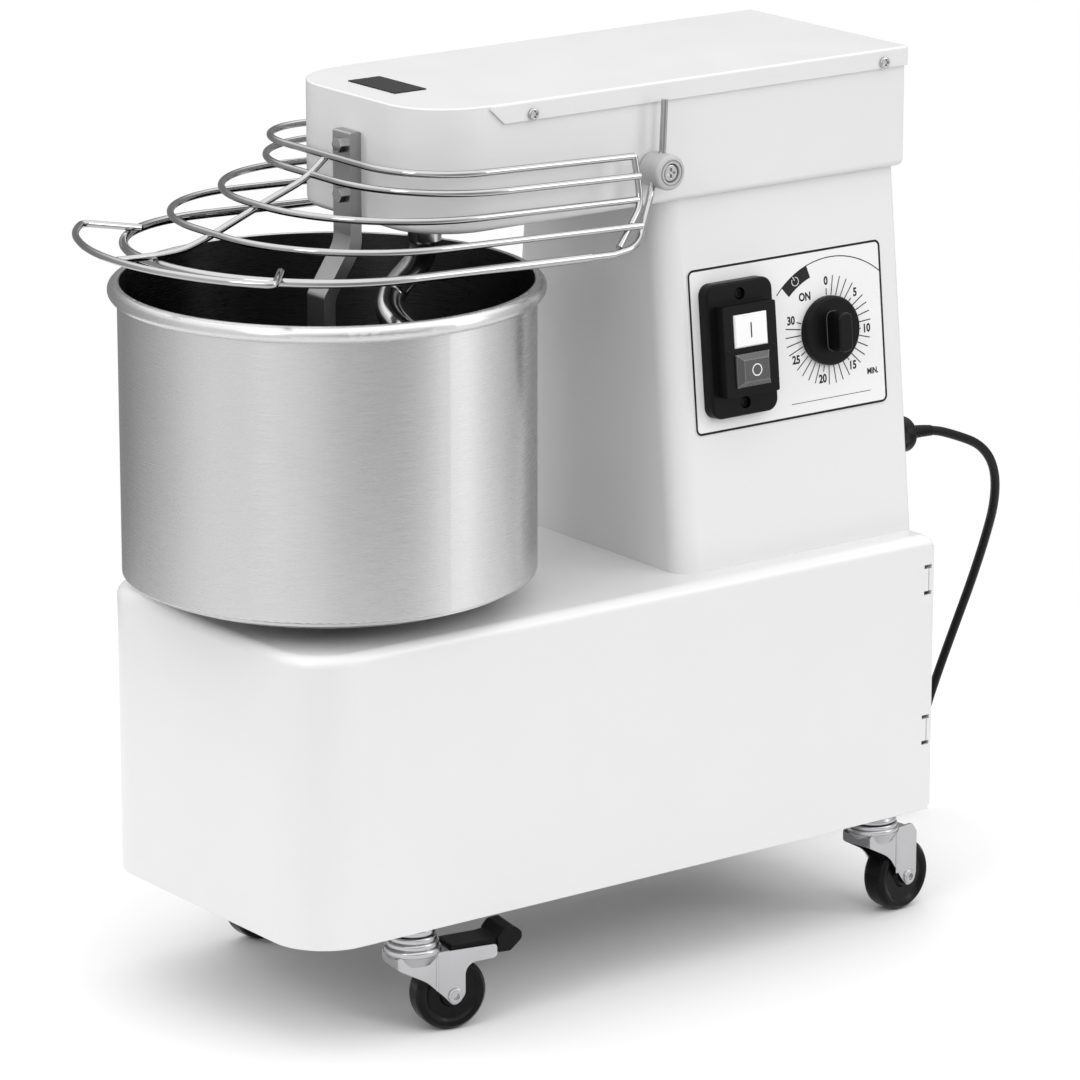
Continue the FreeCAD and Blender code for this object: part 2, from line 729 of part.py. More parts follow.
def column_loft(inset, z0, z1):
    wires = []
    for z in (z0, z1):
        half = column_half(z) - inset
        wires.append(rounded_outline(-half, half, at_y(column_front) + inset, column_back_y - inset, z,
                                     column_corner - inset, 3.0 - inset * 0.5))
    return Part.makeLoft(wires, True, True)


def switch_screw_spots():
    return [V(panel_thick + switch_depth - 4.0, switch_offset, s * (switch_rise / 2 - 9.5)) for s in (-1, 1)]


def column_shell():
    shell = column_loft(0, base_top, head_z).cut(column_loft(sheet, base_top - 1, head_z + 1))
    half, z0, z1 = back_window
    window = box(-half, half, column_back_y - 10, column_back_y + 1, z0, z1)
    gland_hole = Part.makeCylinder(gland_thread, 20, V(gland_x, column_back_y - 10, gland_z), Y_AXIS)
    screws = [Part.makeCylinder(cover_screw, 20, V(x, column_back_y - 10, z), Y_AXIS) for x, z in back_screws]
    timer_hole = on_panel(Part.makeCylinder(timer_neck, 20, V(-10, knob_offset, 0), X_AXIS))
    switch_hole = on_panel(box(-10, 10, switch_offset - block_width / 2 + 2, switch_offset + block_width / 2 - 2,
                               -block_rise / 2 + 2, block_rise / 2 - 2))
    for spot in switch_screw_spots():
        screws.append(on_panel(Part.makeCylinder(switch_screw_radius, 20, V(-10, spot.y, spot.z), X_AXIS)))
    for cutter in [window, gland_hole, timer_hole, switch_hole] + screws:
        shell = shell.cut(cutter)
    return shell


def back_panel():
    half, z0, z1 = back_window
    grow = 9.0
    panel = box(-half - grow, half + grow, column_back_y, column_back_y + sheet, z0 - grow, z1 + grow)
    panel = panel.makeFillet(5.0, [e for e in panel.Edges if e.BoundBox.YLength > sheet - 0.1
                                   and e.BoundBox.XLength < 1 and e.BoundBox.ZLength < 1])
    slots = []
    for row in range(6):
        z = z0 + 18 + row * 9
        slots.append(box(-38, 38, column_back_y - 1, column_back_y + 5, z, z + 3))
    holes = [Part.makeCylinder(cover_screw, 20, V(x, column_back_y - 10, z), Y_AXIS) for x, z in back_screws]
    return panel.cut(slots + holes)


panel_origin = V(column_half(panel_z), at_y(panel_y), panel_z)


def on_panel(shape):
    """Carries a shape from the panel's own axes (X out, Y rearward, Z up) to the sloping side."""
    return moved(turned(shape, Y_AXIS, -column_lean), panel_origin)


save(column_shell(), "column_shell")
save(back_panel(), "column_back_panel")


# ---------------------------------------------------------------- head
def head_shell():
    y0 = at_y(head_front)
    y1 = at_y(head_back)
    outer = rounded_block(-half_head, half_head, y0, y1, head_z, head_top - sheet, head_corner, 2.0)
    outer = outer.makeFillet(5.0, edges_at(outer, head_z))
    inner = rounded_block(-half_head + sheet, half_head - sheet, y0 + sheet, y1 - sheet, head_floor, head_top,
                          head_corner - sheet, 0.8)
    inner = inner.makeFillet(3.0, edges_at(inner, head_floor))
    shell = outer.cut(inner)
    spiral_hole = rod(spiral_housing_radius + 1.0, head_z - 1, head_floor + 1, spiral_centre)
    column_hole = box(-66, 66, at_y(column_front + 15), at_y(column_back - 15), head_z - 1, head_floor + 1)
    bolts = [Part.makeCylinder(bar_bolt, 40, V(0, y0 - 10, z), Y_AXIS) for z in bar_bolt_heights]
    pivots = []
    for side in (-1, 1):
        pivots.append(Part.makeCylinder(pivot_radius, 20, V(side * half_head - 10, at_y(hub_y), hub_z), X_AXIS))
    return shell.cut([spiral_hole, column_hole] + bolts + pivots + lid_screw_holes())


def lid_screw_holes():
    holes = []
    for side in (-1, 1):
        for y in lid_screw_rows:
            holes.append(Part.makeCylinder(cover_screw, 20, V(side * half_head - 10, at_y(y), lid_screw_z), X_AXIS))
    return holes


def head_lid():
    """Flat lid over the whole head; its rim hangs down the sides and the back."""
    y0 = at_y(head_front)
    y1 = at_y(head_back)
    plate = rounded_block(-half_head, half_head, y0, y1, head_top - sheet, head_top, head_corner, 2.0)
    plate = plate.makeFillet(1.2, edges_at(plate, head_top))
    grow = sheet
    outer = rounded_block(-half_head - grow, half_head + grow, at_y(lid_notch), y1 + grow,
                          head_top - lid_flange, head_top, 2.0, 3.0)
    outer = outer.makeFillet(1.6, edges_at(outer, head_top))
    inner = rounded_block(-half_head, half_head, at_y(lid_notch) - 5, y1, head_top - lid_flange - 1,
                          head_top - sheet, 1.0, 2.0)
    low = head_top - lid_flange - 1
    corner = [V(-half_head - 5, at_y(lid_notch) - 1, head_top - sheet), V(-half_head - 5, at_y(lid_notch) - 1, low),
              V(-half_head - 5, at_y(lid_notch) + lid_slant + 1, low)]
    slant = Part.Face(Part.makePolygon(corner + [corner[0]])).extrude(V(head_width + 10, 0, 0))
    lid = plate.fuse(outer.cut(inner).cut(slant))
    return lid.cut(lid_screw_holes())


def head_plate():
    """Bearing plate on the head floor."""
    x1 = half_head - sheet - 3
    plate = rounded_block(-x1, x1, at_y(head_front + 12), at_y(head_back - 20), head_floor, plate_top,
                          head_corner - sheet, 2.0)
    return plate.cut([
        rod(spiral_housing_radius, head_floor - 1, plate_top + 1, spiral_centre),
        rod(layshaft_diameter / 2 + 3, head_floor - 1, plate_top + 1, layshaft_centre),
    ])


save(head_shell(), "head_shell")
save(head_lid(), "head_lid")
save(head_plate(), "head_bearing_plate")

badge_plate = box(-40, 17, at_y(160), at_y(187), head_top, head_top + 0.8)
save(badge_plate, "name_plate_blank")
arrow_plate = box(-66, 58, at_y(0) - 0.6, at_y(0), base_z + 129, base_z + 160)
save(arrow_plate, "turning_arrow_plate")


# ---------------------------------------------------------------- bowl and its drive


def bowl():
    """Spun bowl: foot ring, straight body and a rolled rim."""
    body = bowl_body_diameter / 2
    foot = bowl_foot_diameter / 2
    inner = body - bowl_wall
    rim_centre = bowl_rim_diameter / 2 - bowl_rim_tube
    rim_z = bowl_rim_z - bowl_rim_tube
    shell = revolve([
        (0, bowl_seat_z), (foot - 9, bowl_seat_z), (foot - 9, bowl_foot_z), (foot, bowl_foot_z),
        (foot + 13, bowl_foot_z + 5), (foot + 13, bowl_body_z), (body, bowl_body_z),
        (body, rim_z), (inner, rim_z), (inner, bowl_floor_z), (0, bowl_floor_z),
    ], bowl_centre, [0, 0, 0, 0, 0, 0, 1.2, 0, 0, bowl_inner_corner, 0])
    rim = Part.makeTorus(rim_centre - 1.0, bowl_rim_tube, bowl_centre + V(0, 0, rim_z))
    inside = rod(inner, rim_z - 20, rim_z + 20, bowl_centre)
    return shell.fuse(rim.cut(inside)).removeSplitter()


def bowl_shaft():
    radius = bowl_shaft_diameter / 2
    shaft = rod(radius, sprocket_low_z - 6, bowl_seat_z - 4, bowl_centre)
    flange = rod(bowl_flange_diameter / 2, bowl_seat_z - 8, bowl_seat_z, bowl_centre)
    return shaft.fuse(flange)


def bowl_housing():
    boss = rod(housing_radius, chain_low_z + 13, housing_top, bowl_centre)
    flange = rod(housing_flange, frame_top, frame_top + housing_flange_thick, bowl_centre)
    bore = rod(bowl_shaft_diameter / 2 + running_gap, chain_low_z, housing_top + 1, bowl_centre)
    relief = rod(bowl_shaft_diameter / 2 + 2, frame_bottom - 4, frame_top + 4, bowl_centre)
    return boss.fuse(flange).cut([bore, relief])


save(bowl(), "bowl")
save(bowl_shaft(), "bowl_shaft")
save(bowl_housing(), "bowl_bearing_housing")
save(sprocket(bowl_sprocket_teeth, sprocket_low_z, bowl_centre, bowl_shaft_diameter / 2, 26, 11), "bowl_sprocket")
save(chain(bowl_centre, bowl_sprocket_teeth, layshaft_centre, drive_sprocket_teeth, chain_low_z), "bowl_chain")


# ---------------------------------------------------------------- lay shaft, motor and head drive


def flange_bearing(z):
    flange = rod(35, z, z + bearing_flange_thick, layshaft_centre)
    boss = rod(22, z, z + bearing_height, layshaft_centre)
    return flange.fuse(boss).cut(rod(layshaft_diameter / 2 + running_gap, z - 1, z + 30, layshaft_centre))


layshaft = rod(layshaft_diameter / 2, sprocket_low_z - 6, sprocket_high_z + 14, layshaft_centre)
save(layshaft, "lay_shaft")
drive_sprockets = [
    sprocket(drive_sprocket_teeth, sprocket_low_z, layshaft_centre, layshaft_diameter / 2, 15.8, 12),
    sprocket(head_sprocket_teeth, sprocket_high_z, layshaft_centre, layshaft_diameter / 2, 22, 11),
]
save(group(drive_sprockets), "lay_shaft_sprockets")
save(group([flange_bearing(frame_top), flange_bearing(plate_top)]), "flange_bearings")
save(grooved_pulley(big_pulley_radius, pulley_z, 15, layshaft_centre, layshaft_diameter / 2, 5), "lay_shaft_pulley")
save(grooved_pulley(motor_pulley_radius, pulley_z, 15, motor_centre, motor_shaft_diameter / 2), "motor_pulley")
belt = loop_band(layshaft_centre, big_pulley_radius + free_gap, motor_centre, motor_pulley_radius + free_gap,
                 pulley_z - belt_half, pulley_z + belt_half, belt_thick - free_gap)
save(belt, "drive_belt")


def motor_body():
    """Ribbed motor with its gear end down and a terminal box on one side."""
    core = rod(motor_radius - 6, motor_foot, motor_foot + motor_length, motor_centre)
    ends = [rod(motor_radius, motor_foot, motor_foot + 42, motor_centre),
            rod(motor_radius, motor_foot + motor_length - 34, motor_foot + motor_length, motor_centre)]
    ribs = []
    for index in range(20):
        rib = box(-1.2, 1.2, motor_radius - 9, motor_radius, motor_foot + 40, motor_foot + motor_length - 30)
        ribs.append(moved(turned(rib, Z_AXIS, index * 18), motor_centre))
    terminal = box(-motor_radius - 14, -motor_radius + 10, motor_centre.y - 26, motor_centre.y + 26,
                   motor_foot + 70, motor_foot + 140)
    bore = rod(motor_shaft_diameter / 2 + running_gap, motor_foot - 1, motor_foot + 60, motor_centre)
    return core.fuse(ends + ribs + [terminal]).cut(bore)


def motor_plate():
    half = 50.0
    plate = box(-half, half, motor_centre.y - half, motor_centre.y + half, frame_top, motor_foot)
    return plate.cut(rod(motor_shaft_diameter / 2 + 8, frame_top - 1, motor_foot + 1, motor_centre))


save(motor_body(), "gear_motor")
save(motor_plate(), "motor_plate")
save(rod(motor_shaft_diameter / 2, pulley_z - 14, motor_foot + 58, motor_centre), "motor_shaft")


# ---------------------------------------------------------------- spiral
def spiral_points():
    """Points of the hook's middle line, from the shaft down to the bowl floor."""
    top = base_z + 450.0
    low = bowl_floor_z + spiral_floor_gap + spiral_rod / 2
    reach = spiral_sweep - spiral_rod / 2
    steps = 15
    points = [V(0, 0, top + 26), V(0, 0, top - 2)]
    for step in range(steps + 1):
        angle = math.radians(205 + step * 45)
        share = step / steps
        radius = min(reach, 26 + 26 * share)
        z = top - 30 - (top - 30 - low) * share
        points.append(V(radius * math.cos(angle), radius * math.sin(angle), z))
    return points


def spiral_hook():
    points = spiral_points()
    path = fillet_path(points, run_radii(points))
    hook = tube_along(path, spiral_rod)
    tip = Part.makeSphere(spiral_rod / 2, points[-1])
    shaft = Part.makeCylinder(spiral_shaft_diameter / 2, sprocket_high_z + 14 - points[1].z - 10,
                              V(0, 0, points[1].z + 10))
    shaft = shaft.makeChamfer(1.5, edges_at(shaft, points[1].z + 10))
    return moved(hook.fuse([tip, shaft]), spiral_centre)


def spiral_housing():
    boss = rod(spiral_housing_radius, head_z - 6, spiral_housing_top, spiral_centre)
    flange = rod(44, plate_top, plate_top + 8, spiral_centre)
    return boss.fuse(flange).cut(rod(spiral_shaft_diameter / 2 + running_gap, head_z - 10,
                                     spiral_housing_top + 1, spiral_centre))


save(spiral_hook(), "spiral_hook")
save(spiral_housing(), "spiral_bearing_housing")
spiral_sprocket = sprocket(spiral_sprocket_teeth, sprocket_high_z, spiral_centre, spiral_shaft_diameter / 2, 30, 11)
save(spiral_sprocket, "spiral_sprocket")
save(chain(spiral_centre, spiral_sprocket_teeth, layshaft_centre, head_sprocket_teeth, chain_high_z), "head_chain")


# ---------------------------------------------------------------- breaker bar
bar_back = at_y(head_front)


def breaker_bar():
    """Flat bar bolted to the head, stepped forward to the middle of the bowl."""
    low = bowl_floor_z + bar_floor_gap
    middle = bar_back - bar_thick / 2
    line = [V(0, middle, bar_top), V(0, middle, bar_step_top), V(0, middle - bar_step, bar_step_low),
            V(0, middle - bar_step, low)]
    lean = math.atan(bar_step / (bar_step_top - bar_step_low))
    shift = bar_thick / 2 * math.tan(lean / 2)
    half = bar_thick / 2
    front = [line[0] + V(0, -half, 0), line[1] + V(0, -half, shift), line[2] + V(0, -half, shift),
             line[3] + V(0, -half, 0)]
    back = [line[0] + V(0, half, 0), line[1] + V(0, half, -shift), line[2] + V(0, half, -shift),
            line[3] + V(0, half, 0)]
    outline = fillet_path(front + back[::-1], [2, 22, 6, 3, 3, 14, 14, 2], closed=True)
    bar = moved(Part.Face(outline).extrude(V(bar_width, 0, 0)), V(-bar_width / 2, 0, 0))
    holes = [Part.makeCylinder(bar_bolt, 60, V(0, bar_back - 30, z), Y_AXIS) for z in bar_bolt_heights]
    return bar.cut(holes)


def breaker_bolt(z):
    face = bar_back - bar_thick
    corner = 2 * bar_bolt / math.sqrt(3) * 1.68
    hexagon = Part.makePolygon([V(corner * math.cos(math.pi / 3 * k), face, z + corner * math.sin(math.pi / 3 * k))
                                for k in range(7)])
    head = Part.Face(hexagon).extrude(V(0, -4.2, 0))
    return head.fuse(Part.makeCylinder(bar_bolt, 26, V(0, face, z), Y_AXIS))


save(breaker_bar(), "breaker_bar")
save(group([breaker_bolt(z) for z in bar_bolt_heights]), "breaker_bar_bolts")


# ---------------------------------------------------------------- bowl guard


def guard_point(point, side=1):
    return V(side * point[0], at_y(point[1]), base_z + point[2])


def guard_wire_through(points, side=1, diameter=guard_wire):
    line = [guard_point(point, side) for point in points]
    if len(line) == 2:
        return Part.makeCylinder(diameter / 2, line[0].distanceToPoint(line[1]), line[0], line[1] - line[0])
    return tube_along(fillet_path(line, run_radii(line)), diameter)


def guard_hoop(half, front, corner, height, back, diameter):
    line = [guard_point((-half, back, height)), guard_point((-half, front, height)),
            guard_point((half, front, height)), guard_point((half, back, height))]
    return tube_along(fillet_path(line, [0, corner, corner, 0]), diameter)


def tilted(shape):
    return turned(shape, X_AXIS, -guard_rest_tilt, V(0, at_y(hub_y), hub_z))


def guard_frame():
    backs = [300.0, 300.0, 302.0, 296.0, 248.0]
    wires = []
    for index, (half, front, corner, height) in enumerate(guard_hoops):
        thick = guard_ring_wire if index == 4 else guard_wire
        wires.append(guard_hoop(half, front, corner, height, backs[index], thick))
    for side in (-1, 1):
        for points in (guard_bar, guard_arm):
            wires.append(guard_wire_through(points, side))
        ring = guard_hoops[4]
        wires.append(guard_wire_through([(ring[0], 246.0, ring[3]), (ring[0], 269.0, ring[3])], side))
    wires.append(guard_wire_through(guard_rib))
    grip = [guard_point((-x, y, grip_level)) for x, y in grip_side]
    grip += [guard_point((x, y, grip_level)) for x, y in grip_side[::-1]]
    wires.append(tube_along(fillet_path(grip, grip_radii + grip_radii[::-1]), guard_wire))
    return wires[0].fuse(wires[1:])


def guard_hub(side):
    centre = V(side * hub_start, at_y(hub_y), hub_z)
    direction = V(side, 0, 0)
    hub = Part.makeCylinder(hub_diameter / 2, hub_length, centre, direction)
    ends = [e for e in hub.Edges if e.BoundBox.XLength < 1e-3]
    hub = hub.makeFillet(3.0, ends)
    recess = Part.makeCylinder(7.0, 4.0, centre + direction * (hub_length - 4.0), direction)
    step = Part.makeCylinder(9.5, 1.0, centre + direction * (hub_length - 1.0), direction)
    step = step.cut(Part.makeCylinder(8.3, 1.0, centre + direction * (hub_length - 1.0), direction))
    bore = Part.makeCylinder(pivot_radius + running_gap, hub_length, centre, direction)
    return hub.cut([recess, step, bore])


def guard_pivot(side):
    """Shoulder screw that carries one hub."""
    direction = V(side, 0, 0)
    centre = V(side * (half_head - 16), at_y(hub_y), hub_z)
    seat = hub_start + hub_length - 4.0 + free_gap
    shank = Part.makeCylinder(pivot_radius, seat - half_head + 16, centre, direction)
    head = Part.makeCylinder(6.2, 2.8, V(side * seat, at_y(hub_y), hub_z), direction)
    head = head.makeFillet(1.2, [e for e in head.Edges if abs(abs(e.CenterOfMass.x) - seat - 2.8) < 1e-3])
    reach = seat + 1.4
    slots = [side_box(side, reach, reach + 3, at_y(hub_y) - 3.6, at_y(hub_y) + 3.6, hub_z - 0.9, hub_z + 0.9),
             side_box(side, reach, reach + 3, at_y(hub_y) - 0.9, at_y(hub_y) + 0.9, hub_z - 3.6, hub_z + 3.6)]
    return shank.fuse(head.cut(slots))


frame_wires = tilted(guard_frame())
hubs = [guard_hub(side).cut(frame_wires) for side in (-1, 1)]
save(frame_wires, "guard_wire_frame")
save(group(hubs), "guard_hubs")
save(group([guard_pivot(side) for side in (-1, 1)]), "guard_pivot_screws")


# ---------------------------------------------------------------- control side
button_heights = {"start_button": button_pitch / 2, "stop_button": -button_pitch / 2}


def panel_block(w0, w1, u0, u1, v0, v1, radius):
    """Block in panel axes with rounded upright corners."""
    block = box(w0, w1, u0, u1, v0, v1)
    return block.makeFillet(radius, [e for e in block.Edges if e.BoundBox.XLength > (w1 - w0) - 0.01
                                     and e.BoundBox.YLength < 0.01 and e.BoundBox.ZLength < 0.01])


def centred_block(w0, w1, u, v, width, rise, radius):
    return panel_block(w0, w1, u - width / 2, u + width / 2, v - rise / 2, v + rise / 2, radius)


def plain_block(w0, w1, u, v, width, rise):
    return box(w0, w1, u - width / 2, u + width / 2, v - rise / 2, v + rise / 2)


def control_overlay():
    plate = centred_block(0, panel_thick, 0, 0, panel_length, panel_rise, 5.0)
    hole = Part.makeCylinder(timer_neck, 5, V(-1, knob_offset, 0), X_AXIS)
    window = centred_block(-1, 5, switch_offset, 0, block_width - 4, block_rise - 4, 1.0)
    screws = [Part.makeCylinder(switch_screw_radius, 10, V(-5, spot.y, spot.z), X_AXIS) for spot in switch_screw_spots()]
    return plate.cut([hole, window] + screws)


def switch_housing():
    front = panel_thick + switch_depth
    plate = centred_block(panel_thick, front, switch_offset, 0, switch_width, switch_rise, 9.0)
    plate = plate.makeFillet(1.5, [e for e in plate.Edges if e.BoundBox.XMin > front - 0.01])
    block = centred_block(front - 1, block_face, switch_offset, 0, block_width, block_rise, 1.5)
    rear = centred_block(-26, front - 1, switch_offset, 0, block_width - 6, block_rise - 6, 1.5)
    housing = plate.fuse([block, rear])
    cuts = []
    for height in button_heights.values():
        cuts.append(plain_block(pocket_floor, block_face + 1, switch_offset, height,
                                button_width + 2 * free_gap, button_rise + 2 * free_gap))
    for spot in switch_screw_spots():
        cuts.append(Part.makeCylinder(4.6, 10, spot, X_AXIS))
        cuts.append(Part.makeCylinder(switch_screw_radius, 20, spot - V(15, 0, 0), X_AXIS))
    return housing.cut(cuts)


def button(height, proud, bevel):
    back = pocket_floor + button_travel + free_gap
    front = block_face + proud
    body = plain_block(back, front, switch_offset, height, button_width, button_rise)
    rim = [e for e in body.Edges if e.BoundBox.XMin > front - 0.01]
    return body.makeChamfer(bevel, rim)


def timer_knob():
    disc = Part.makeCylinder(knob_diameter / 2, knob_disc, V(panel_thick + free_gap, knob_offset, 0), X_AXIS)
    front = panel_thick + free_gap + knob_disc
    disc = disc.makeFillet(2.0, [e for e in disc.Edges if e.BoundBox.XMin > front - 0.01])
    grip = centred_block(front - 1, front + knob_grip_depth, knob_offset, 0, 12.0, knob_grip_rise, 5.0)
    grip = grip.makeFillet(1.5, [e for e in grip.Edges if e.BoundBox.XMin > front + knob_grip_depth - 0.01])
    stem = Part.makeCylinder(timer_stem, front + 18, V(-18, knob_offset, 0), X_AXIS)
    return disc.fuse([grip, stem])


def timer_body():
    case = Part.makeCylinder(22.0, 34.0, V(-sheet - 34.0, knob_offset, 0), X_AXIS)
    neck = Part.makeCylinder(timer_neck - 0.1, sheet + panel_thick, V(-sheet, knob_offset, 0), X_AXIS)
    bore = Part.makeCylinder(timer_stem + running_gap, 60, V(-18 - free_gap, knob_offset, 0), X_AXIS)
    return case.fuse(neck).cut(bore)


save(on_panel(control_overlay()), "control_overlay")
save(on_panel(switch_housing()), "switch_housing")
save(on_panel(button(button_heights["start_button"], 1.2, 0.8)), "start_button")
save(on_panel(button(button_heights["stop_button"], 5.5, 4.0)), "stop_button")
save(on_panel(timer_knob()), "timer_knob")
save(on_panel(timer_body()), "timer_body")
switch_screw = pan_screw(3.4, 2.2, switch_screw_radius, 14)
save(group([on_panel(moved(switch_screw, spot)) for spot in switch_screw_spots()]), "switch_screws")


# ---------------------------------------------------------------- cover screws
cover_pan = pan_screw(4.3, 2.4, cover_screw, 9)
screws = []
for side in (-1, 1):
    facing = cover_pan if side > 0 else turned(cover_pan, Z_AXIS, 180)
    for y in lid_screw_rows:
        screws.append(moved(facing, V(side * (half_head + sheet), at_y(y), lid_screw_z)))
rearward = turned(cover_pan, Z_AXIS, 90)
for x, z in rear_cover_screws:
    screws.append(moved(rearward, V(x, rear_y, z)))
for x, z in back_screws:
    screws.append(moved(rearward, V(x, column_back_y + sheet, z)))
save(group(screws), "cover_screws")


# ---------------------------------------------------------------- gland, cord, coil and plug
gland_face = column_back_y + gland_length


def cable_gland():
    hexagon = Part.makePolygon([V(gland_x + 15.0 * math.cos(math.pi / 3 * k), column_back_y,
                                  gland_z + 15.0 * math.sin(math.pi / 3 * k)) for k in range(7)])
    base = Part.Face(hexagon).extrude(V(0, 6.0, 0))
    dome = Part.makeCylinder(gland_diameter / 2, gland_length - 5.0, V(gland_x, column_back_y + 5, gland_z), Y_AXIS)
    dome = dome.makeFillet(6.5, [e for e in dome.Edges if e.BoundBox.YMin > gland_face - 0.01])
    thread = Part.makeCylinder(gland_thread, 14, V(gland_x, column_back_y - 12, gland_z), Y_AXIS)
    nut = Part.makeCylinder(13.0, 5, V(gland_x, column_back_y - sheet - 5, gland_z), Y_AXIS)
    return base.fuse([dome, thread, nut])


coil_centre = V(-109.0, rear_y + 75, 0)
cord_points = [
    V(gland_x, gland_face, gland_z),
    V(gland_x, rear_y + 34, gland_z),
    V(gland_x, rear_y + 60, gland_z - 9),
    V(86, rear_y + 87, gland_z - 21),
    V(79, rear_y + 107, gland_z - 43),
    V(64, rear_y + 121, gland_z - 75),
    V(44, rear_y + 129, gland_z - 111),
    V(22, rear_y + 135, gland_z - 151),
    V(0, rear_y + 139, gland_z - 191),
    V(-20, rear_y + 142, gland_z - 229),
    V(-38, rear_y + 145, gland_z - 265),
    V(-51, rear_y + 147, gland_z - 297),
    V(-59, rear_y + 148, 34),
    V(-61.5, rear_y + 143, 14),
    V(-60.5, rear_y + 126, cord_radius),
    V(-60.5, rear_y + 103, cord_radius),
]


def power_cord():
    """Supply cord from the gland down to the floor and up to the coil."""
    path = fillet_path(cord_points, run_radii(cord_points))
    return tube_along(path, cord_diameter)


def cord_coil():
    outer = rod(coil_turn + cord_radius, 0, coil_height, coil_centre)
    ring = outer.cut(rod(coil_inner - cord_radius, -1, coil_height + 1, coil_centre))
    lead_in = Part.makeCylinder(cord_radius, stub, coil_centre + V(coil_turn, 0, cord_radius), Y_AXIS)
    lead_out = Part.makeCylinder(cord_radius, stub, coil_centre + V(-coil_turn, 0, coil_height - cord_radius), Y_AXIS)
    return ring.fuse([lead_in, lead_out])


def mains_plug():
    """Moulded two-pin plug lying flat beside the coil."""
    start = coil_centre + V(-coil_turn, stub, coil_height - cord_radius)
    relief = Part.makeCone(cord_radius + 0.6, 6.0, 24, start, Y_AXIS)
    y0 = start.y + 24
    body = box(start.x - 18, start.x + 18, y0, y0 + 38, start.z - 10.8, start.z + 11)
    body = body.makeFillet(6.0, [e for e in body.Edges if e.BoundBox.YLength > 37])
    pins = [Part.makeCylinder(2.4, 19, V(start.x + s * 9.5, y0 + 38, start.z), Y_AXIS) for s in (-1, 1)]
    return relief.fuse([body] + pins)


save(cable_gland(), "cable_gland")
save(power_cord(), "power_cord")
save(cord_coil(), "cord_coil")
save(mains_plug(), "mains_plug")
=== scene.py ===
import bpy
import bmesh
import math
from mathutils import Matrix, Vector


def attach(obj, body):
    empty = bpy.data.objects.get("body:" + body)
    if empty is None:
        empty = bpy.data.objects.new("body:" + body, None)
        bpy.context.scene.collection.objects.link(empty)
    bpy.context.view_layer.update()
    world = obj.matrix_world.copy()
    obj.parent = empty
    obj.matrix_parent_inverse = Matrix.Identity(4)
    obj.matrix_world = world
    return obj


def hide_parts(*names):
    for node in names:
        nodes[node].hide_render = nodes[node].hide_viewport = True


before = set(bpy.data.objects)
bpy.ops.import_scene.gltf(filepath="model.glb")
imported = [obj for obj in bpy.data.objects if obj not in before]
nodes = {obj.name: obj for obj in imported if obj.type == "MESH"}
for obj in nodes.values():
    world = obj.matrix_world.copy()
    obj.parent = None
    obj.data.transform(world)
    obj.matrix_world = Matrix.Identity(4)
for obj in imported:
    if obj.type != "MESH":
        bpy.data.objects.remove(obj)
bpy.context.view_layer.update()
scene = bpy.context.scene


def mm(*values):
    return Vector([value / 1000 for value in values])


def newObject(name, mesh, materials=(), smooth=True):
    piece = bpy.data.objects.new(name, mesh)
    scene.collection.objects.link(piece)
    for finish in materials:
        mesh.materials.append(finish)
    for face in mesh.polygons:
        face.use_smooth = smooth
    return piece


def meshFrom(name, work, materials=(), smooth=True, sharp=35):
    bmesh.ops.remove_doubles(work, verts=work.verts, dist=1e-7)
    bmesh.ops.recalc_face_normals(work, faces=work.faces)
    for edge in work.edges:
        if edge.calc_face_angle(0) > math.radians(sharp):
            edge.smooth = False
    mesh = bpy.data.meshes.new(name)
    work.to_mesh(mesh)
    work.free()
    return newObject(name, mesh, materials, smooth)


def turnedShape(profile, steps=64):
    # profile: (radius, height) pairs in mm, turned about the local Z axis
    work = bmesh.new()
    ring = [work.verts.new(mm(radius, 0, height)) for radius, height in profile]
    edges = [work.edges.new(pair) for pair in zip(ring, ring[1:])]
    bmesh.ops.spin(work, geom=ring + edges, cent=(0, 0, 0), axis=(0, 0, 1),
                   angle=math.tau, steps=steps, use_merge=True)
    bmesh.ops.remove_doubles(work, verts=work.verts, dist=1e-7)
    return work


def addTo(work, shape, place=Matrix()):
    # moves a shape into place and joins it to a larger one
    bmesh.ops.transform(shape, matrix=place, verts=shape.verts)
    bmesh.ops.recalc_face_normals(shape, faces=shape.faces)
    holder = bpy.data.meshes.new("holder")
    shape.to_mesh(holder)
    shape.free()
    work.from_mesh(holder)
    bpy.data.meshes.remove(holder)


def bar(width, height, depth, middle=(0, 0, 0)):
    # block of the given size in mm, centred on middle
    work = bmesh.new()
    bmesh.ops.create_cube(work, size=1)
    bmesh.ops.scale(work, vec=mm(width, height, depth), verts=work.verts)
    bmesh.ops.translate(work, vec=mm(*middle), verts=work.verts)
    return work


def flatSheet(width, height):
    work = bmesh.new()
    bmesh.ops.create_grid(work, x_segments=1, y_segments=1, size=0.5)
    bmesh.ops.scale(work, vec=mm(width, height, 1), verts=work.verts)
    return work


def thicken(work, depth):
    # every face grows upwards along local Z
    grown = bmesh.ops.extrude_face_region(work, geom=work.faces[:])
    lifted = [item for item in grown["geom"] if isinstance(item, bmesh.types.BMVert)]
    bmesh.ops.translate(work, vec=mm(0, 0, depth), verts=lifted)


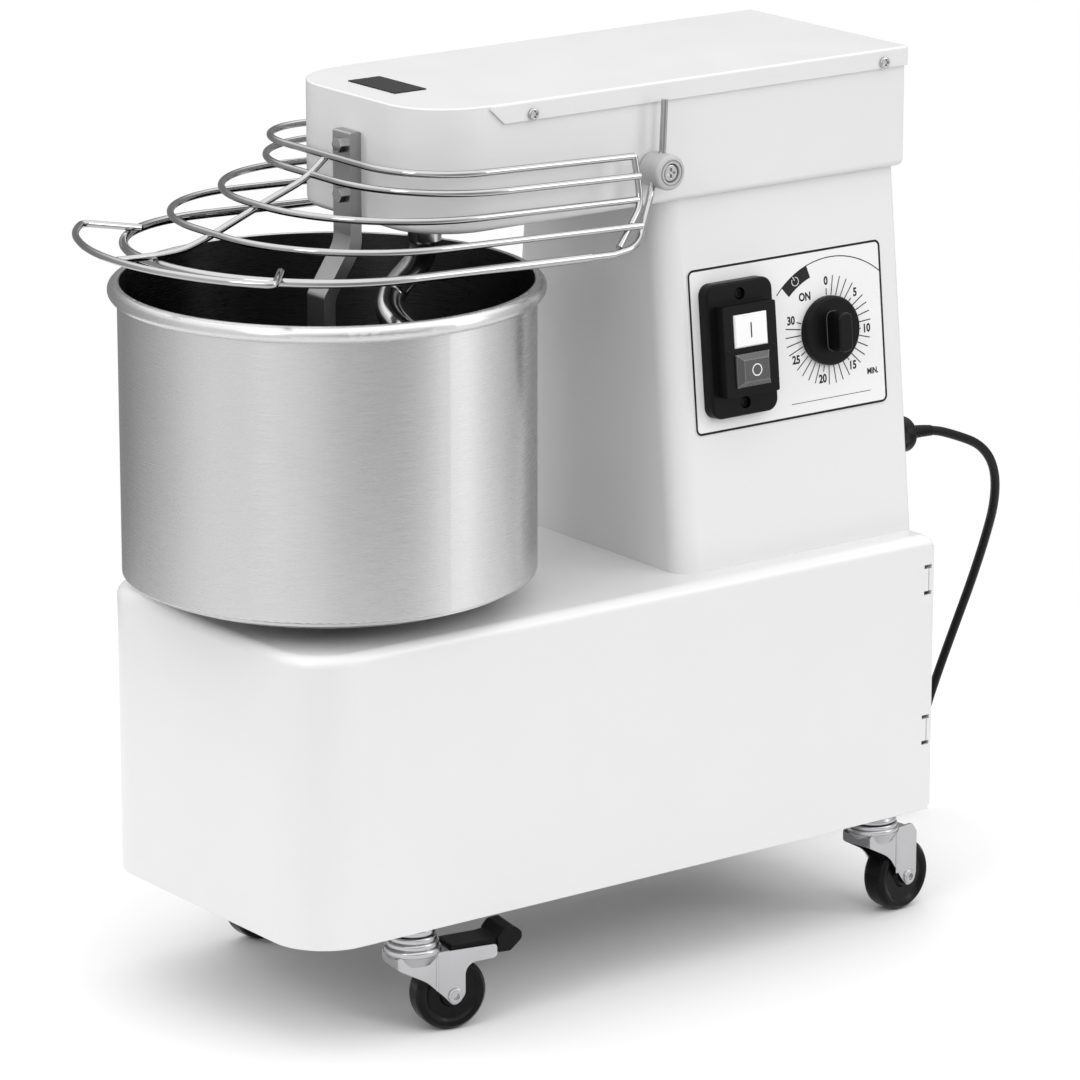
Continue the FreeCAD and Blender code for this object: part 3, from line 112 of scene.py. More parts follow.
def arcBand(inner, outer, start, end, depth, steps=32):
    # flat band between two radii, angles in degrees clockwise from the local Y axis
    work = flatSheet(outer - inner, depth)
    stand = Matrix.Rotation(math.radians(90), 4, "X")
    outward = Matrix.Translation(mm((inner + outer) / 2, 0, 0))
    first = Matrix.Rotation(math.radians(90 - start), 4, "Z")
    bmesh.ops.transform(work, matrix=first @ outward @ stand, verts=work.verts)
    whole = abs(end - start) > 359
    if whole:
        # a full ring has no end faces
        bmesh.ops.delete(work, geom=work.faces[:], context="FACES_ONLY")
    section = work.verts[:] + work.edges[:] + work.faces[:]
    bmesh.ops.spin(work, geom=section, cent=(0, 0, 0), axis=(0, 0, 1),
                   angle=-math.radians(end - start), steps=steps, use_merge=whole)
    return work


def roundedPlate(width, height, radius, depth, rim=0):
    # rounded rectangle of even depth; a rim leaves only its outline
    work = flatSheet(width, height)
    bmesh.ops.bevel(work, geom=work.verts[:], offset=radius / 1000, segments=6, profile=0.5,
                    affect="VERTICES", material=-1)
    if rim:
        inset = bmesh.ops.inset_region(work, faces=work.faces[:], thickness=rim / 1000,
                                       use_even_offset=True, use_boundary=True)
        middle = [face for face in work.faces if face not in set(inset["faces"])]
        bmesh.ops.delete(work, geom=middle, context="FACES")
    thicken(work, depth)
    return work


def lettering(text, height, depth, width=0.85, weight=0.035):
    # generic marks from the built-in typeface, centred on the origin
    capitalShare = 0.72                    # height of its capitals against its size
    line = bpy.data.curves.new("mark", "FONT")
    line.body = text
    line.size = height / 1000 / capitalShare
    line.align_x = "CENTER"
    line.align_y = "CENTER"
    line.offset = line.size * weight
    line.extrude = depth / 2000
    line.resolution_u = 4
    holder = bpy.data.objects.new("mark", line)
    scene.collection.objects.link(holder)
    bpy.context.view_layer.update()
    ready = holder.evaluated_get(bpy.context.evaluated_depsgraph_get())
    flat = bpy.data.meshes.new_from_object(ready)
    work = bmesh.new()
    work.from_mesh(flat)
    bpy.data.objects.remove(holder)
    bpy.data.curves.remove(line)
    bpy.data.meshes.remove(flat)
    bmesh.ops.scale(work, vec=(width, 1, 1), verts=work.verts)
    return work


# the camera, then the cord, come first
lens = bpy.data.cameras.new("viewCamera")
lens.sensor_width = 36
lens.lens = 192.76
eye = bpy.data.objects.new("viewCamera", lens)
scene.collection.objects.link(eye)
aim = Vector((-0.0838, 0.1055, 0.2734))
eye.location = (3.2595, -2.3810, 1.4336)
eye.rotation_euler = (aim - eye.location).to_track_quat("-Z", "Y").to_euler()
lens.clip_start = 0.05
lens.clip_end = 50
scene.camera = eye

# supply cord: leaves the gland, drops behind the machine and lies in a coil on the floor
cordWays = {
    "diameter": 0.007,
    "length": 1.66,
    "run": [(88, 318.9, 359), (88, 339.4, 359), (88, 365.4, 350), (86, 392.4, 338), (79, 412.4, 316),
            (64, 426.4, 284), (44, 434.4, 248), (22, 440.4, 208), (0, 444.4, 168), (-20, 447.4, 130),
            (-38, 450.4, 94), (-51, 452.4, 62), (-59, 453.4, 34), (-61.5, 448.4, 14), (-60.5, 431.4, 3.5),
            (-60.5, 408.4, 3.5)],
    "coilCentre": (-109.0, 380.4),
    "outerTurn": 48.5,
    "innerTurn": 33.5,
    "lowLayer": 3.5,
    "highLayer": 11.0,
    "perTurn": 16,
    "plugStart": (-157.5, 408.4, 11.0),
}


def coilPoints(ways):
    # two turns inward on the floor, half a turn climbing, two turns outward on top
    points = []
    shrink = ways["outerTurn"] - ways["innerTurn"]
    rise = ways["highLayer"] - ways["lowLayer"]
    for k in range(int(4.5 * ways["perTurn"]) + 1):
        turns = k / ways["perTurn"]
        inward = min(turns / 2, 1) - max((turns - 2.5) / 2, 0)
        climb = min(max((turns - 2) / 0.5, 0), 1)
        radius = ways["outerTurn"] - shrink * inward
        angle = -math.tau * turns
        points.append((ways["coilCentre"][0] + radius * math.cos(angle),
                       ways["coilCentre"][1] + radius * math.sin(angle),
                       ways["lowLayer"] + rise * climb))
    return points


cordPoints = cordWays["run"] + coilPoints(cordWays) + [cordWays["plugStart"]]
cordLine = bpy.data.curves.new("powerCordRun", "CURVE")
cordLine.dimensions = "3D"
cordLine.bevel_depth = 1.0                 # each point's radius is half the cord's diameter
cordLine.bevel_resolution = 4
cordLine.resolution_u = 6
cordLine.use_fill_caps = True
cordSpline = cordLine.splines.new("NURBS")
cordSpline.points.add(len(cordPoints) - 1)
for point, place in zip(cordSpline.points, cordPoints):
    point.co = (*mm(*place), 1)
    point.radius = cordWays["diameter"] / 2
cordSpline.order_u = 3
cordSpline.use_endpoint_u = True
powerCordRun = bpy.data.objects.new("powerCordRun", cordLine)
scene.collection.objects.link(powerCordRun)
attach(powerCordRun, "frame")
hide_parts("power_cord", "cord_coil")
print("stage: camera and cord")


def mathNode(tree, operation, vector=False):
    node = tree.nodes.new("ShaderNodeVectorMath" if vector else "ShaderNodeMath")
    node.operation = operation
    return node


def emptyGroup(name, inputs, outputs):
    group = bpy.data.node_groups.new(name, "ShaderNodeTree")
    for label, kind, value in inputs:
        socket = group.interface.new_socket(label, in_out="INPUT", socket_type=kind)
        if value is not None:
            socket.default_value = value
    for label, kind in outputs:
        group.interface.new_socket(label, in_out="OUTPUT", socket_type=kind)
    return group, group.nodes.new("NodeGroupInput"), group.nodes.new("NodeGroupOutput")


def buildGrain():
    # unevenness of a surface, as a value and a normal
    inputs = [("Size", "NodeSocketFloat", 900.0), ("Depth", "NodeSocketFloat", 0.1),
              ("Detail", "NodeSocketFloat", 2.0), ("Stretch", "NodeSocketVector", (1, 1, 1))]
    outputs = [("Value", "NodeSocketFloat"), ("Normal", "NodeSocketVector")]
    group, inside, outside = emptyGroup("surfaceGrain", inputs, outputs)
    place = group.nodes.new("ShaderNodeTexCoord")
    stretch = mathNode(group, "MULTIPLY", vector=True)
    noise = group.nodes.new("ShaderNodeTexNoise")
    bump = group.nodes.new("ShaderNodeBump")
    bump.inputs["Distance"].default_value = 0.0004
    links = group.links
    links.new(place.outputs["Object"], stretch.inputs[0])
    links.new(inside.outputs["Stretch"], stretch.inputs[1])
    links.new(stretch.outputs[0], noise.inputs["Vector"])
    links.new(inside.outputs["Size"], noise.inputs["Scale"])
    links.new(inside.outputs["Detail"], noise.inputs["Detail"])
    links.new(noise.outputs["Fac"], bump.inputs["Height"])
    links.new(inside.outputs["Depth"], bump.inputs["Strength"])
    links.new(noise.outputs["Fac"], outside.inputs["Value"])
    links.new(bump.outputs["Normal"], outside.inputs["Normal"])
    return group


def buildTurned():
    # fine lines round an upright axis, as brushing leaves them
    inputs = [("Centre", "NodeSocketVector", (0, 0, 0)), ("Lines", "NodeSocketFloat", 1500.0),
              ("Depth", "NodeSocketFloat", 0.1)]
    outputs = [("Value", "NodeSocketFloat"), ("Normal", "NodeSocketVector")]
    group, inside, outside = emptyGroup("turnedLines", inputs, outputs)
    place = group.nodes.new("ShaderNodeTexCoord")
    shift = mathNode(group, "SUBTRACT", vector=True)
    parts = group.nodes.new("ShaderNodeSeparateXYZ")
    around = mathNode(group, "ARCTAN2")
    spread = mathNode(group, "MULTIPLY")
    spread.inputs[1].default_value = 6.0   # short lengths of line round the axis
    height = mathNode(group, "MULTIPLY")
    joined = group.nodes.new("ShaderNodeCombineXYZ")
    noise = group.nodes.new("ShaderNodeTexNoise")
    noise.inputs["Scale"].default_value = 1.0
    noise.inputs["Detail"].default_value = 3.0
    bump = group.nodes.new("ShaderNodeBump")
    bump.inputs["Distance"].default_value = 0.0002
    links = group.links
    links.new(place.outputs["Object"], shift.inputs[0])
    links.new(inside.outputs["Centre"], shift.inputs[1])
    links.new(shift.outputs[0], parts.inputs[0])
    links.new(parts.outputs["Y"], around.inputs[0])
    links.new(parts.outputs["X"], around.inputs[1])
    links.new(around.outputs[0], spread.inputs[0])
    links.new(parts.outputs["Z"], height.inputs[0])
    links.new(inside.outputs["Lines"], height.inputs[1])
    links.new(spread.outputs[0], joined.inputs["X"])
    links.new(height.outputs[0], joined.inputs["Z"])
    links.new(joined.outputs[0], noise.inputs["Vector"])
    links.new(noise.outputs["Fac"], bump.inputs["Height"])
    links.new(inside.outputs["Depth"], bump.inputs["Strength"])
    links.new(noise.outputs["Fac"], outside.inputs["Value"])
    links.new(bump.outputs["Normal"], outside.inputs["Normal"])
    return group


def buildEdges():
    # a normal rounded over the edges and a mask of where they are
    inputs = [("Radius", "NodeSocketFloat", 0.0008)]
    outputs = [("Normal", "NodeSocketVector"), ("Mask", "NodeSocketFloat")]
    group, inside, outside = emptyGroup("softEdges", inputs, outputs)
    bevel = group.nodes.new("ShaderNodeBevel")
    bevel.samples = 4
    place = group.nodes.new("ShaderNodeNewGeometry")
    likeness = mathNode(group, "DOT_PRODUCT", vector=True)
    mask = group.nodes.new("ShaderNodeMapRange")
    mask.inputs["From Min"].default_value = 0.995
    mask.inputs["From Max"].default_value = 0.85
    links = group.links
    links.new(inside.outputs["Radius"], bevel.inputs["Radius"])
    links.new(bevel.outputs["Normal"], likeness.inputs[0])
    links.new(place.outputs["Normal"], likeness.inputs[1])
    links.new(likeness.outputs["Value"], mask.inputs["Value"])
    links.new(bevel.outputs["Normal"], outside.inputs["Normal"])
    links.new(mask.outputs["Result"], outside.inputs["Mask"])
    return group


grainGroup = buildGrain()
turnedGroup = buildTurned()
edgeGroup = buildEdges()


def grey(level):
    return (level, level, level)


def startMaterial(name, colour, metallic=0.0, roughness=0.5, **extra):
    material = bpy.data.materials.new(name)
    material.use_nodes = True
    tree = material.node_tree
    shader = tree.nodes["Principled BSDF"]
    shader.inputs["Base Color"].default_value = (*colour, 1)
    shader.inputs["Metallic"].default_value = metallic
    shader.inputs["Roughness"].default_value = roughness
    for label, value in extra.items():
        shader.inputs[label.replace("_", " ")].default_value = value
    return material, tree, shader


def grouped(tree, group, **values):
    node = tree.nodes.new("ShaderNodeGroup")
    node.node_tree = group
    for label, value in values.items():
        node.inputs[label].default_value = value
    return node


def blended(tree, factor, first, second, socket):
    mix = tree.nodes.new("ShaderNodeMix")
    mix.data_type = "RGBA"
    mix.inputs["A"].default_value = (*first, 1)
    mix.inputs["B"].default_value = (*second, 1)
    tree.links.new(factor, mix.inputs["Factor"])
    tree.links.new(mix.outputs["Result"], socket)
    return mix


def ranged(tree, source, low, high, socket):
    spread = tree.nodes.new("ShaderNodeMapRange")
    spread.inputs["From Min"].default_value = 0.3
    spread.inputs["From Max"].default_value = 0.7
    spread.inputs["To Min"].default_value = low
    spread.inputs["To Max"].default_value = high
    tree.links.new(source, spread.inputs["Value"])
    tree.links.new(spread.outputs["Result"], socket)


def joinedNormals(tree, first, second, socket):
    total = mathNode(tree, "ADD", vector=True)
    unit = mathNode(tree, "NORMALIZE", vector=True)
    tree.links.new(first, total.inputs[0])
    tree.links.new(second, total.inputs[1])
    tree.links.new(total.outputs[0], unit.inputs[0])
    tree.links.new(unit.outputs[0], socket)


def enamel(name, settings):
    # fine texture, patchy gloss, rounded edges, and, if a rim colour is given, a painted edge light along
    # them: a painted highlight on dark parts, painted shade on pale ones
    material, tree, shader = startMaterial(name, settings["colour"], 0.0, settings["gloss"][0])
    shader.inputs["Coat Weight"].default_value = settings.get("coat", 0.0)
    shader.inputs["Coat Roughness"].default_value = settings.get("coatRough", 0.1)
    shader.inputs["Specular IOR Level"].default_value = settings.get("shine", 0.5)
    fine = grouped(tree, grainGroup, Size=settings["grain"], Depth=settings["depth"], Detail=2.0)
    broad = grouped(tree, grainGroup, Size=settings.get("patches", 14.0), Depth=0.0, Detail=4.0)
    edges = grouped(tree, edgeGroup, Radius=settings.get("edge", 0.0008))
    skin = shader.inputs["Base Color"]
    body = blended(tree, broad.outputs["Value"], settings["colour"], settings["shade"], skin)
    # the rim colour is painted light along the edges, not a colour of the part itself
    if settings.get("rim"):
        outline = blended(tree, edges.outputs["Mask"], settings["colour"], settings["rim"], skin)
        tree.links.new(body.outputs["Result"], outline.inputs["A"])
    ranged(tree, broad.outputs["Value"], *settings["gloss"], shader.inputs["Roughness"])
    joinedNormals(tree, fine.outputs["Normal"], edges.outputs["Normal"], shader.inputs["Normal"])
    return material


def metal(name, settings):
    # stretched grain and cloudy roughness
    material, tree, shader = startMaterial(name, settings["colour"], 1.0, settings["rough"][0])
    fine = grouped(tree, grainGroup, Size=settings["grain"], Depth=settings["depth"], Detail=3.0,
                   Stretch=settings.get("stretch", (1, 1, 1)))
    broad = grouped(tree, grainGroup, Size=settings.get("patches", 30.0), Depth=0.0, Detail=5.0)
    skin = shader.inputs["Base Color"]
    blended(tree, broad.outputs["Value"], settings["colour"], settings["shade"], skin)
    ranged(tree, broad.outputs["Value"], *settings["rough"], shader.inputs["Roughness"])
    if settings.get("edge"):
        edges = grouped(tree, edgeGroup, Radius=settings["edge"])
        joinedNormals(tree, fine.outputs["Normal"], edges.outputs["Normal"], shader.inputs["Normal"])
    else:
        tree.links.new(fine.outputs["Normal"], shader.inputs["Normal"])
    return material


def bowlInside(tree, settings):
    # 1 on the surfaces inside the bowl, from how far they are from its axis and above its floor: where the
    # painted shade goes
    place = tree.nodes.new("ShaderNodeTexCoord")
    shift = mathNode(tree, "SUBTRACT", vector=True)
    shift.inputs[1].default_value = settings["centre"]
    flat = mathNode(tree, "MULTIPLY", vector=True)
    flat.inputs[1].default_value = (1, 1, 0)
    away = mathNode(tree, "LENGTH", vector=True)
    within = mathNode(tree, "LESS_THAN")
    within.inputs[1].default_value = settings["innerRadius"]
    parts = tree.nodes.new("ShaderNodeSeparateXYZ")
    above = mathNode(tree, "GREATER_THAN")
    above.inputs[1].default_value = settings["floorHeight"]
    both = mathNode(tree, "MULTIPLY")
    links = tree.links
    links.new(place.outputs["Object"], shift.inputs[0])
    links.new(shift.outputs[0], flat.inputs[0])
    links.new(flat.outputs[0], away.inputs[0])
    links.new(away.outputs["Value"], within.inputs[0])
    links.new(place.outputs["Object"], parts.inputs[0])
    links.new(parts.outputs["Z"], above.inputs[0])
    links.new(within.outputs[0], both.inputs[0])
    links.new(above.outputs[0], both.inputs[1])
    return both.outputs[0]


def brushed(name, settings):
    # lines brushed round the axis outside, and painted shade inside: the inner surfaces get a darker colour
    # than the same steel outside
    material, tree, shader = startMaterial(name, settings["colour"], 1.0, settings["rough"][0])
    shader.inputs["Anisotropic"].default_value = settings["anisotropy"]
    shader.inputs["Anisotropic Rotation"].default_value = 0.25
    tangent = tree.nodes.new("ShaderNodeTangent")
    tangent.direction_type = "RADIAL"
    tangent.axis = "Z"
    lines = grouped(tree, turnedGroup, Centre=settings["centre"], Lines=settings["lines"],
                    Depth=settings["depth"])
    cloud = grouped(tree, grainGroup, Size=26.0, Depth=0.0, Detail=3.0)
    # this mix lays the painted shade, the colour given as inside, over the bowl's inner surfaces
    outside = tree.nodes.new("ShaderNodeMix")
    outside.data_type = "RGBA"
    outside.inputs["B"].default_value = (*settings["inside"], 1)
    tree.links.new(bowlInside(tree, settings), outside.inputs["Factor"])
    tree.links.new(outside.outputs["Result"], shader.inputs["Base Color"])
    blended(tree, cloud.outputs["Value"], settings["colour"], settings["shade"], outside.inputs["A"])
    ranged(tree, lines.outputs["Value"], *settings["rough"], shader.inputs["Roughness"])
    tree.links.new(lines.outputs["Normal"], shader.inputs["Normal"])
    tree.links.new(tangent.outputs[0], shader.inputs["Tangent"])
    return material


bowlCentre = Vector((0, -0.1426, 0))
whiteCoat = enamel("whiteCoat", {
    "colour": grey(0.64), "shade": grey(0.625), "gloss": (0.30, 0.36), "grain": 700.0,
    "depth": 0.05, "edge": 0.0006, "coat": 0.25, "coatRough": 0.15})
blackPlastic = enamel("blackPlastic", {
    "colour": grey(0.003), "shade": grey(0.005), "gloss": (0.30, 0.40), "grain": 1600.0,
    "depth": 0.10, "edge": 0.0006, "shine": 0.12})
# its rim is a painted highlight along the knob's edges
knobPlastic = enamel("knobPlastic", {
    "colour": grey(0.003), "shade": grey(0.005), "gloss": (0.34, 0.44), "grain": 1600.0,
    "depth": 0.08, "edge": 0.0010, "shine": 0.12, "rim": grey(0.16)})
greyPlastic = enamel("greyPlastic", {
    "colour": grey(0.42), "shade": grey(0.38), "gloss": (0.4, 0.5), "grain": 1200.0,
    "depth": 0.15, "edge": 0.0008})
# its rim is painted shade along the start key's edges
whitePlastic = enamel("whitePlastic", {
    "colour": grey(0.78), "shade": grey(0.74), "gloss": (0.2, 0.28), "grain": 1500.0,
    "depth": 0.03, "edge": 0.0008, "rim": grey(0.30)})
# its rim is a painted highlight along the stop key's edges
darkKey = enamel("darkKey", {
    "colour": grey(0.045), "shade": grey(0.060), "gloss": (0.2, 0.3), "grain": 1500.0,
    "depth": 0.03, "edge": 0.0008, "rim": grey(0.34)})
tyreBlack = enamel("tyreBlack", {
    "colour": grey(0.003), "shade": grey(0.005), "gloss": (0.16, 0.24), "grain": 900.0,
    "depth": 0.06, "edge": 0.0006, "shine": 0.13})
cordJacket = enamel("cordJacket", {
    "colour": grey(0.003), "shade": grey(0.005), "gloss": (0.34, 0.44), "grain": 2200.0,
    "depth": 0.12, "edge": 0.0003, "shine": 0.13})
plateFilm = enamel("plateFilm", {
    "colour": grey(0.71), "shade": grey(0.69), "gloss": (0.28, 0.33), "grain": 2500.0,
    "depth": 0.03, "edge": 0.0003})
labelDark = enamel("labelDark", {
    "colour": grey(0.004), "shade": grey(0.007), "gloss": (0.35, 0.45), "grain": 2500.0,
    "depth": 0.04, "edge": 0.0002, "shine": 0.2})
castIron = enamel("castIron", {
    "colour": (0.09, 0.095, 0.10), "shade": (0.13, 0.135, 0.14), "gloss": (0.5, 0.65),
    "grain": 420.0, "depth": 0.6, "edge": 0.001})
chromeWire = metal("chromeWire", {
    "colour": grey(0.42), "shade": grey(0.37), "rough": (0.05, 0.10), "grain": 500.0,
    "depth": 0.04})
zinc = metal("zinc", {
    "colour": (0.50, 0.50, 0.51), "shade": (0.42, 0.42, 0.43), "rough": (0.16, 0.28),
    "grain": 900.0, "depth": 0.10, "edge": 0.0006})
barSteel = metal("barSteel", {
    "colour": grey(0.43), "shade": grey(0.37), "rough": (0.28, 0.40), "grain": 900.0,
    "depth": 0.10, "stretch": (1, 1, 0.06), "edge": 0.0008})
polished = metal("polished", {
    "colour": (0.58, 0.58, 0.59), "shade": (0.50, 0.50, 0.51), "rough": (0.12, 0.22),
    "grain": 700.0, "depth": 0.05})
oiledSteel = metal("oiledSteel", {
    "colour": grey(0.40), "shade": (0.28, 0.28, 0.29), "rough": (0.25, 0.45), "grain": 800.0,
    "depth": 0.2, "edge": 0.0005})
castAlloy = metal("castAlloy", {
    "colour": (0.55, 0.56, 0.57), "shade": (0.46, 0.47, 0.48), "rough": (0.45, 0.6),
    "grain": 350.0, "depth": 0.6, "edge": 0.001})
# its inside colour is painted shade on the bowl's inner surfaces, which are the same steel as the outside
bowlSteel = brushed("bowlSteel", {
    "colour": grey(0.62), "shade": grey(0.59), "rough": (0.24, 0.34), "anisotropy": 0.75,
    "centre": bowlCentre, "lines": 2600.0, "depth": 0.12, "inside": grey(0.10),
    "innerRadius": 0.1464, "floorHeight": 0.3176})

castors = ["fr", "fl", "rr", "rl"]
finishes = {
    whiteCoat: ["base_shell", "base_rear_cover", "column_shell", "column_back_panel", "head_shell",
                "head_lid"],
    blackPlastic: ["castor_pedal_fr", "castor_pedal_fl", "cable_gland", "timer_body",
                   "switch_housing", "switch_screws", "mains_plug"],
    knobPlastic: ["timer_knob"],
    tyreBlack: ["castor_wheel_" + castor for castor in castors] + ["drive_belt"],
    cordJacket: ["power_cord", "cord_coil"],
    zinc: ["castor_fork_" + castor for castor in castors]
    + ["castor_caps", "castor_nuts", "base_bottom_plate", "base_frame_plate", "head_bearing_plate",
       "motor_plate", "cover_screws", "breaker_bar_bolts", "guard_pivot_screws"],
    barSteel: ["breaker_bar"],
    polished: ["spiral_hook"],
    chromeWire: ["guard_wire_frame"],
    greyPlastic: ["guard_hubs"],
    oiledSteel: ["bowl_shaft", "lay_shaft", "motor_shaft", "bowl_sprocket", "lay_shaft_sprockets",
                 "spiral_sprocket", "bowl_chain", "head_chain"],
    castIron: ["bowl_bearing_housing", "spiral_bearing_housing", "flange_bearings",
               "lay_shaft_pulley", "motor_pulley"],
    castAlloy: ["gear_motor"],
    bowlSteel: ["bowl"],
    plateFilm: ["control_overlay"],
    whitePlastic: ["start_button"],
    darkKey: ["stop_button"],
    labelDark: ["name_plate_blank", "turning_arrow_plate"],
}
for finish, members in finishes.items():
    for member in members:
        nodes[member].data.materials.clear()
        nodes[member].data.materials.append(finish)
print("stage: materials on the frame")


# printed faces of the control panel: local X runs rearward, local Y up and local Z out of the panel
panel = {
    "origin": (95.8, 195.9, 451.3),
    "lean": 5.983,
    "face": 0.8,
    "film": 0.12,
    "length": 179.0,
    "rise": 121.0,
    "margin": 0.3,
    "corner": 5.0,
    "outline": 1.7,
}
acrossToPlane = Matrix(((0, 0, 1, 0), (1, 0, 0, 0), (0, 1, 0, 0), (0, 0, 0, 1)))
panelPlace = (Matrix.Translation(mm(*panel["origin"]))
              @ Matrix.Rotation(math.radians(-panel["lean"]), 4, "Y") @ acrossToPlane)
face = panel["face"]
film = panel["film"]


def onPanel(across, up, out, angle=0):
    return (panelPlace @ Matrix.Translation(mm(across, up, out))
            @ Matrix.Rotation(-math.radians(angle), 4, "Z"))


def panelPiece(name, work, finish, body="frame"):
    piece = meshFrom(name, work, [finish], smooth=False)
    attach(piece, body)
    return piece


inkBlack = enamel("inkBlack", {
    "colour": grey(0.004), "shade": grey(0.006), "gloss": (0.35, 0.45), "grain": 3000.0,
    "depth": 0.04, "edge": 0.0001, "shine": 0.25})
inkWhite = enamel("inkWhite", {
    "colour": grey(0.74), "shade": grey(0.70), "gloss": (0.35, 0.45), "grain": 3000.0,
    "depth": 0.04, "edge": 0.0001})

# the timer's scale: a stroke for every minute, shorter under its numeral
scale = {
    "middle": (37.0, 0.0),
    "minutes": 30,
    "minuteStep": 9.6,
    "numeralEvery": 5,
    "tickWidth": 0.75,
    "tickInner": 25.9,
    "tickOuter": 40.0,
    "shortTick": 30.6,
    "numeralRadius": 36.0,
    "numeralHeight": 6.1,
    "onWord": (16.8, 26.9),
    "onHeight": 5.9,
    "unitWord": (76.6, -35.8),
    "unitHeight": 4.4,
}
dialX, dialY = scale["middle"]
ticks = bmesh.new()
for minute in range(scale["minutes"] + 1):
    numbered = minute % scale["numeralEvery"] == 0
    reach = scale["shortTick" if numbered else "tickOuter"] - scale["tickInner"]
    stroke = bar(scale["tickWidth"], reach, film, (0, scale["tickInner"] + reach / 2, film / 2))
    addTo(ticks, stroke, onPanel(dialX, dialY, face, minute * scale["minuteStep"]))
panelPiece("dialTicks", ticks, inkBlack)

numerals = bmesh.new()
for minute in range(0, scale["minutes"] + 1, scale["numeralEvery"]):
    angle = math.radians(minute * scale["minuteStep"])
    addTo(numerals, lettering(str(minute), scale["numeralHeight"], film),
          onPanel(dialX + scale["numeralRadius"] * math.sin(angle),
                  dialY + scale["numeralRadius"] * math.cos(angle), face + film / 2))
for word, height, place in (("ON", scale["onHeight"], scale["onWord"]),
                            ("MIN.", scale["unitHeight"], scale["unitWord"])):
    addTo(numerals, lettering(word, height, film), onPanel(*place, face + film / 2))
panelPiece("dialNumerals", numerals, inkBlack)

# the panel's outline, the long arc over the scale, the dark field on it and the rule below
arc = {
    "middle": (42.3, -18.2),
    "radius": 71.4,
    "width": 0.7,
    "span": (-46, 41),
    "fieldInner": 61.9,
    "fieldOuter": 71.2,
    "fieldSpan": (-40.5, -18.5),
    "rule": (74.4, 0.4),
    "ruleMiddle": (36.8, -49.8),
}
lines = bmesh.new()
arcPlace = onPanel(*arc["middle"], face + film / 2)
half = arc["width"] / 2
addTo(lines, arcBand(arc["radius"] - half, arc["radius"] + half, *arc["span"], film, 64), arcPlace)
addTo(lines, bar(*arc["rule"], film), onPanel(*arc["ruleMiddle"], face + film / 2))
addTo(lines, roundedPlate(panel["length"] - 2 * panel["margin"], panel["rise"] - 2 * panel["margin"],
                          panel["corner"], film, panel["outline"]), onPanel(0, 0, face))
addTo(lines, arcBand(arc["fieldInner"], arc["fieldOuter"], *arc["fieldSpan"], film, 16), arcPlace)
panelPiece("panelLines", lines, inkBlack)

# on/off sign in the dark field: an open ring with a short stroke in its gap
sign = {"middle": (8.5, 39.4), "turn": -30, "ring": (2.9, 3.35), "span": (30, 330), "stroke": (0.5, 3.6),
        "strokeUp": 2.6}
powerMark = bmesh.new()
signPlace = onPanel(*sign["middle"], face + 1.5 * film, sign["turn"])
addTo(powerMark, arcBand(*sign["ring"], *sign["span"], film, 32), signPlace)
addTo(powerMark, bar(*sign["stroke"], film, (0, sign["strokeUp"], 0)), signPlace)
panelPiece("powerMark", powerMark, inkWhite)

# marks on the two keys, and the pins at the middle of the switch block's sides
keys = {
    "across": -50.5,
    "startUp": 14.25,
    "stopUp": -14.25,
    "startFace": 22.0,
    "stopFace": 26.3,
    "blockFace": 20.8,
    "stroke": (1.1, 11.0),
    "ring": (3.7, 4.5),
    "pinAcross": 20.6,
    "pinHead": [(0, 0.5), (0.9, 0.45), (1.6, 0.2), (1.9, 0), (1.9, -0.6), (0, -0.6)],
}
startMark = bmesh.new()
addTo(startMark, bar(*keys["stroke"], film),
      onPanel(keys["across"], keys["startUp"], keys["startFace"] + film / 2))
panelPiece("startMark", startMark, inkBlack, "start_key")
stopMark = bmesh.new()
addTo(stopMark, arcBand(*keys["ring"], 0, 360, film, 48),
      onPanel(keys["across"], keys["stopUp"], keys["stopFace"] + film / 2))
panelPiece("stopMark", stopMark, inkWhite, "stop_key")
blockPins = bmesh.new()
for side in (-1, 1):
    addTo(blockPins, turnedShape(keys["pinHead"], 24),
          onPanel(keys["across"] + side * keys["pinAcross"], 0, keys["blockFace"]))
panelPiece("blockPins", blockPins, blackPlastic)
print("stage: panel print")

# arrow label on the front of the base: local X to the right, local Y up, local Z forward
arrow = {
    "middle": (-4.0, -255.6, 225.5),
    "width": 124.0,
    "rise": 31.0,
    "border": 1.0,
    "corner": 4.0,
    "filmBack": -0.6,
    "filmDepth": 0.4,
    "groundBack": -0.2,
    "groundDepth": 0.1,
    "markBack": -0.1,
    "markDepth": 0.08,
    "tip": -53.6,
    "barb": (-9.3, 12.1),
    "notch": (-18.0, 6.4),
    "tail": 53.8,
}


def labelPiece(name, work, out, finish):
    upright = Matrix.Rotation(math.radians(90), 4, "X")
    shape = bmesh.new()
    addTo(shape, work, Matrix.Translation(mm(*arrow["middle"]) - mm(0, out, 0)) @ upright)
    piece = meshFrom(name, shape, [finish], smooth=False)
    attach(piece, "frame")
    return piece


# a pale film with rounded corners takes the place of the plain label, with dark print on it
border = arrow["border"]
pale = roundedPlate(arrow["width"], arrow["rise"], arrow["corner"] + border, arrow["filmDepth"])
arrowFilm = labelPiece("arrowFilm", pale, arrow["filmBack"], plateFilm)
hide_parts("turning_arrow_plate")
dark = roundedPlate(arrow["width"] - 2 * border, arrow["rise"] - 2 * border, arrow["corner"],
                    arrow["groundDepth"])
labelPiece("arrowGround", dark, arrow["groundBack"], labelDark)
outline = [(arrow["tip"], 0), arrow["barb"], arrow["notch"], (arrow["tail"], arrow["notch"][1])]
outline += [(x, -y) for x, y in outline[:0:-1]]
work = bmesh.new()
work.faces.new([work.verts.new(mm(x, y, 0)) for x, y in outline])
thicken(work, arrow["markDepth"])
labelPiece("arrowMark", work, arrow["markBack"], inkWhite)
print("stage: arrow label")

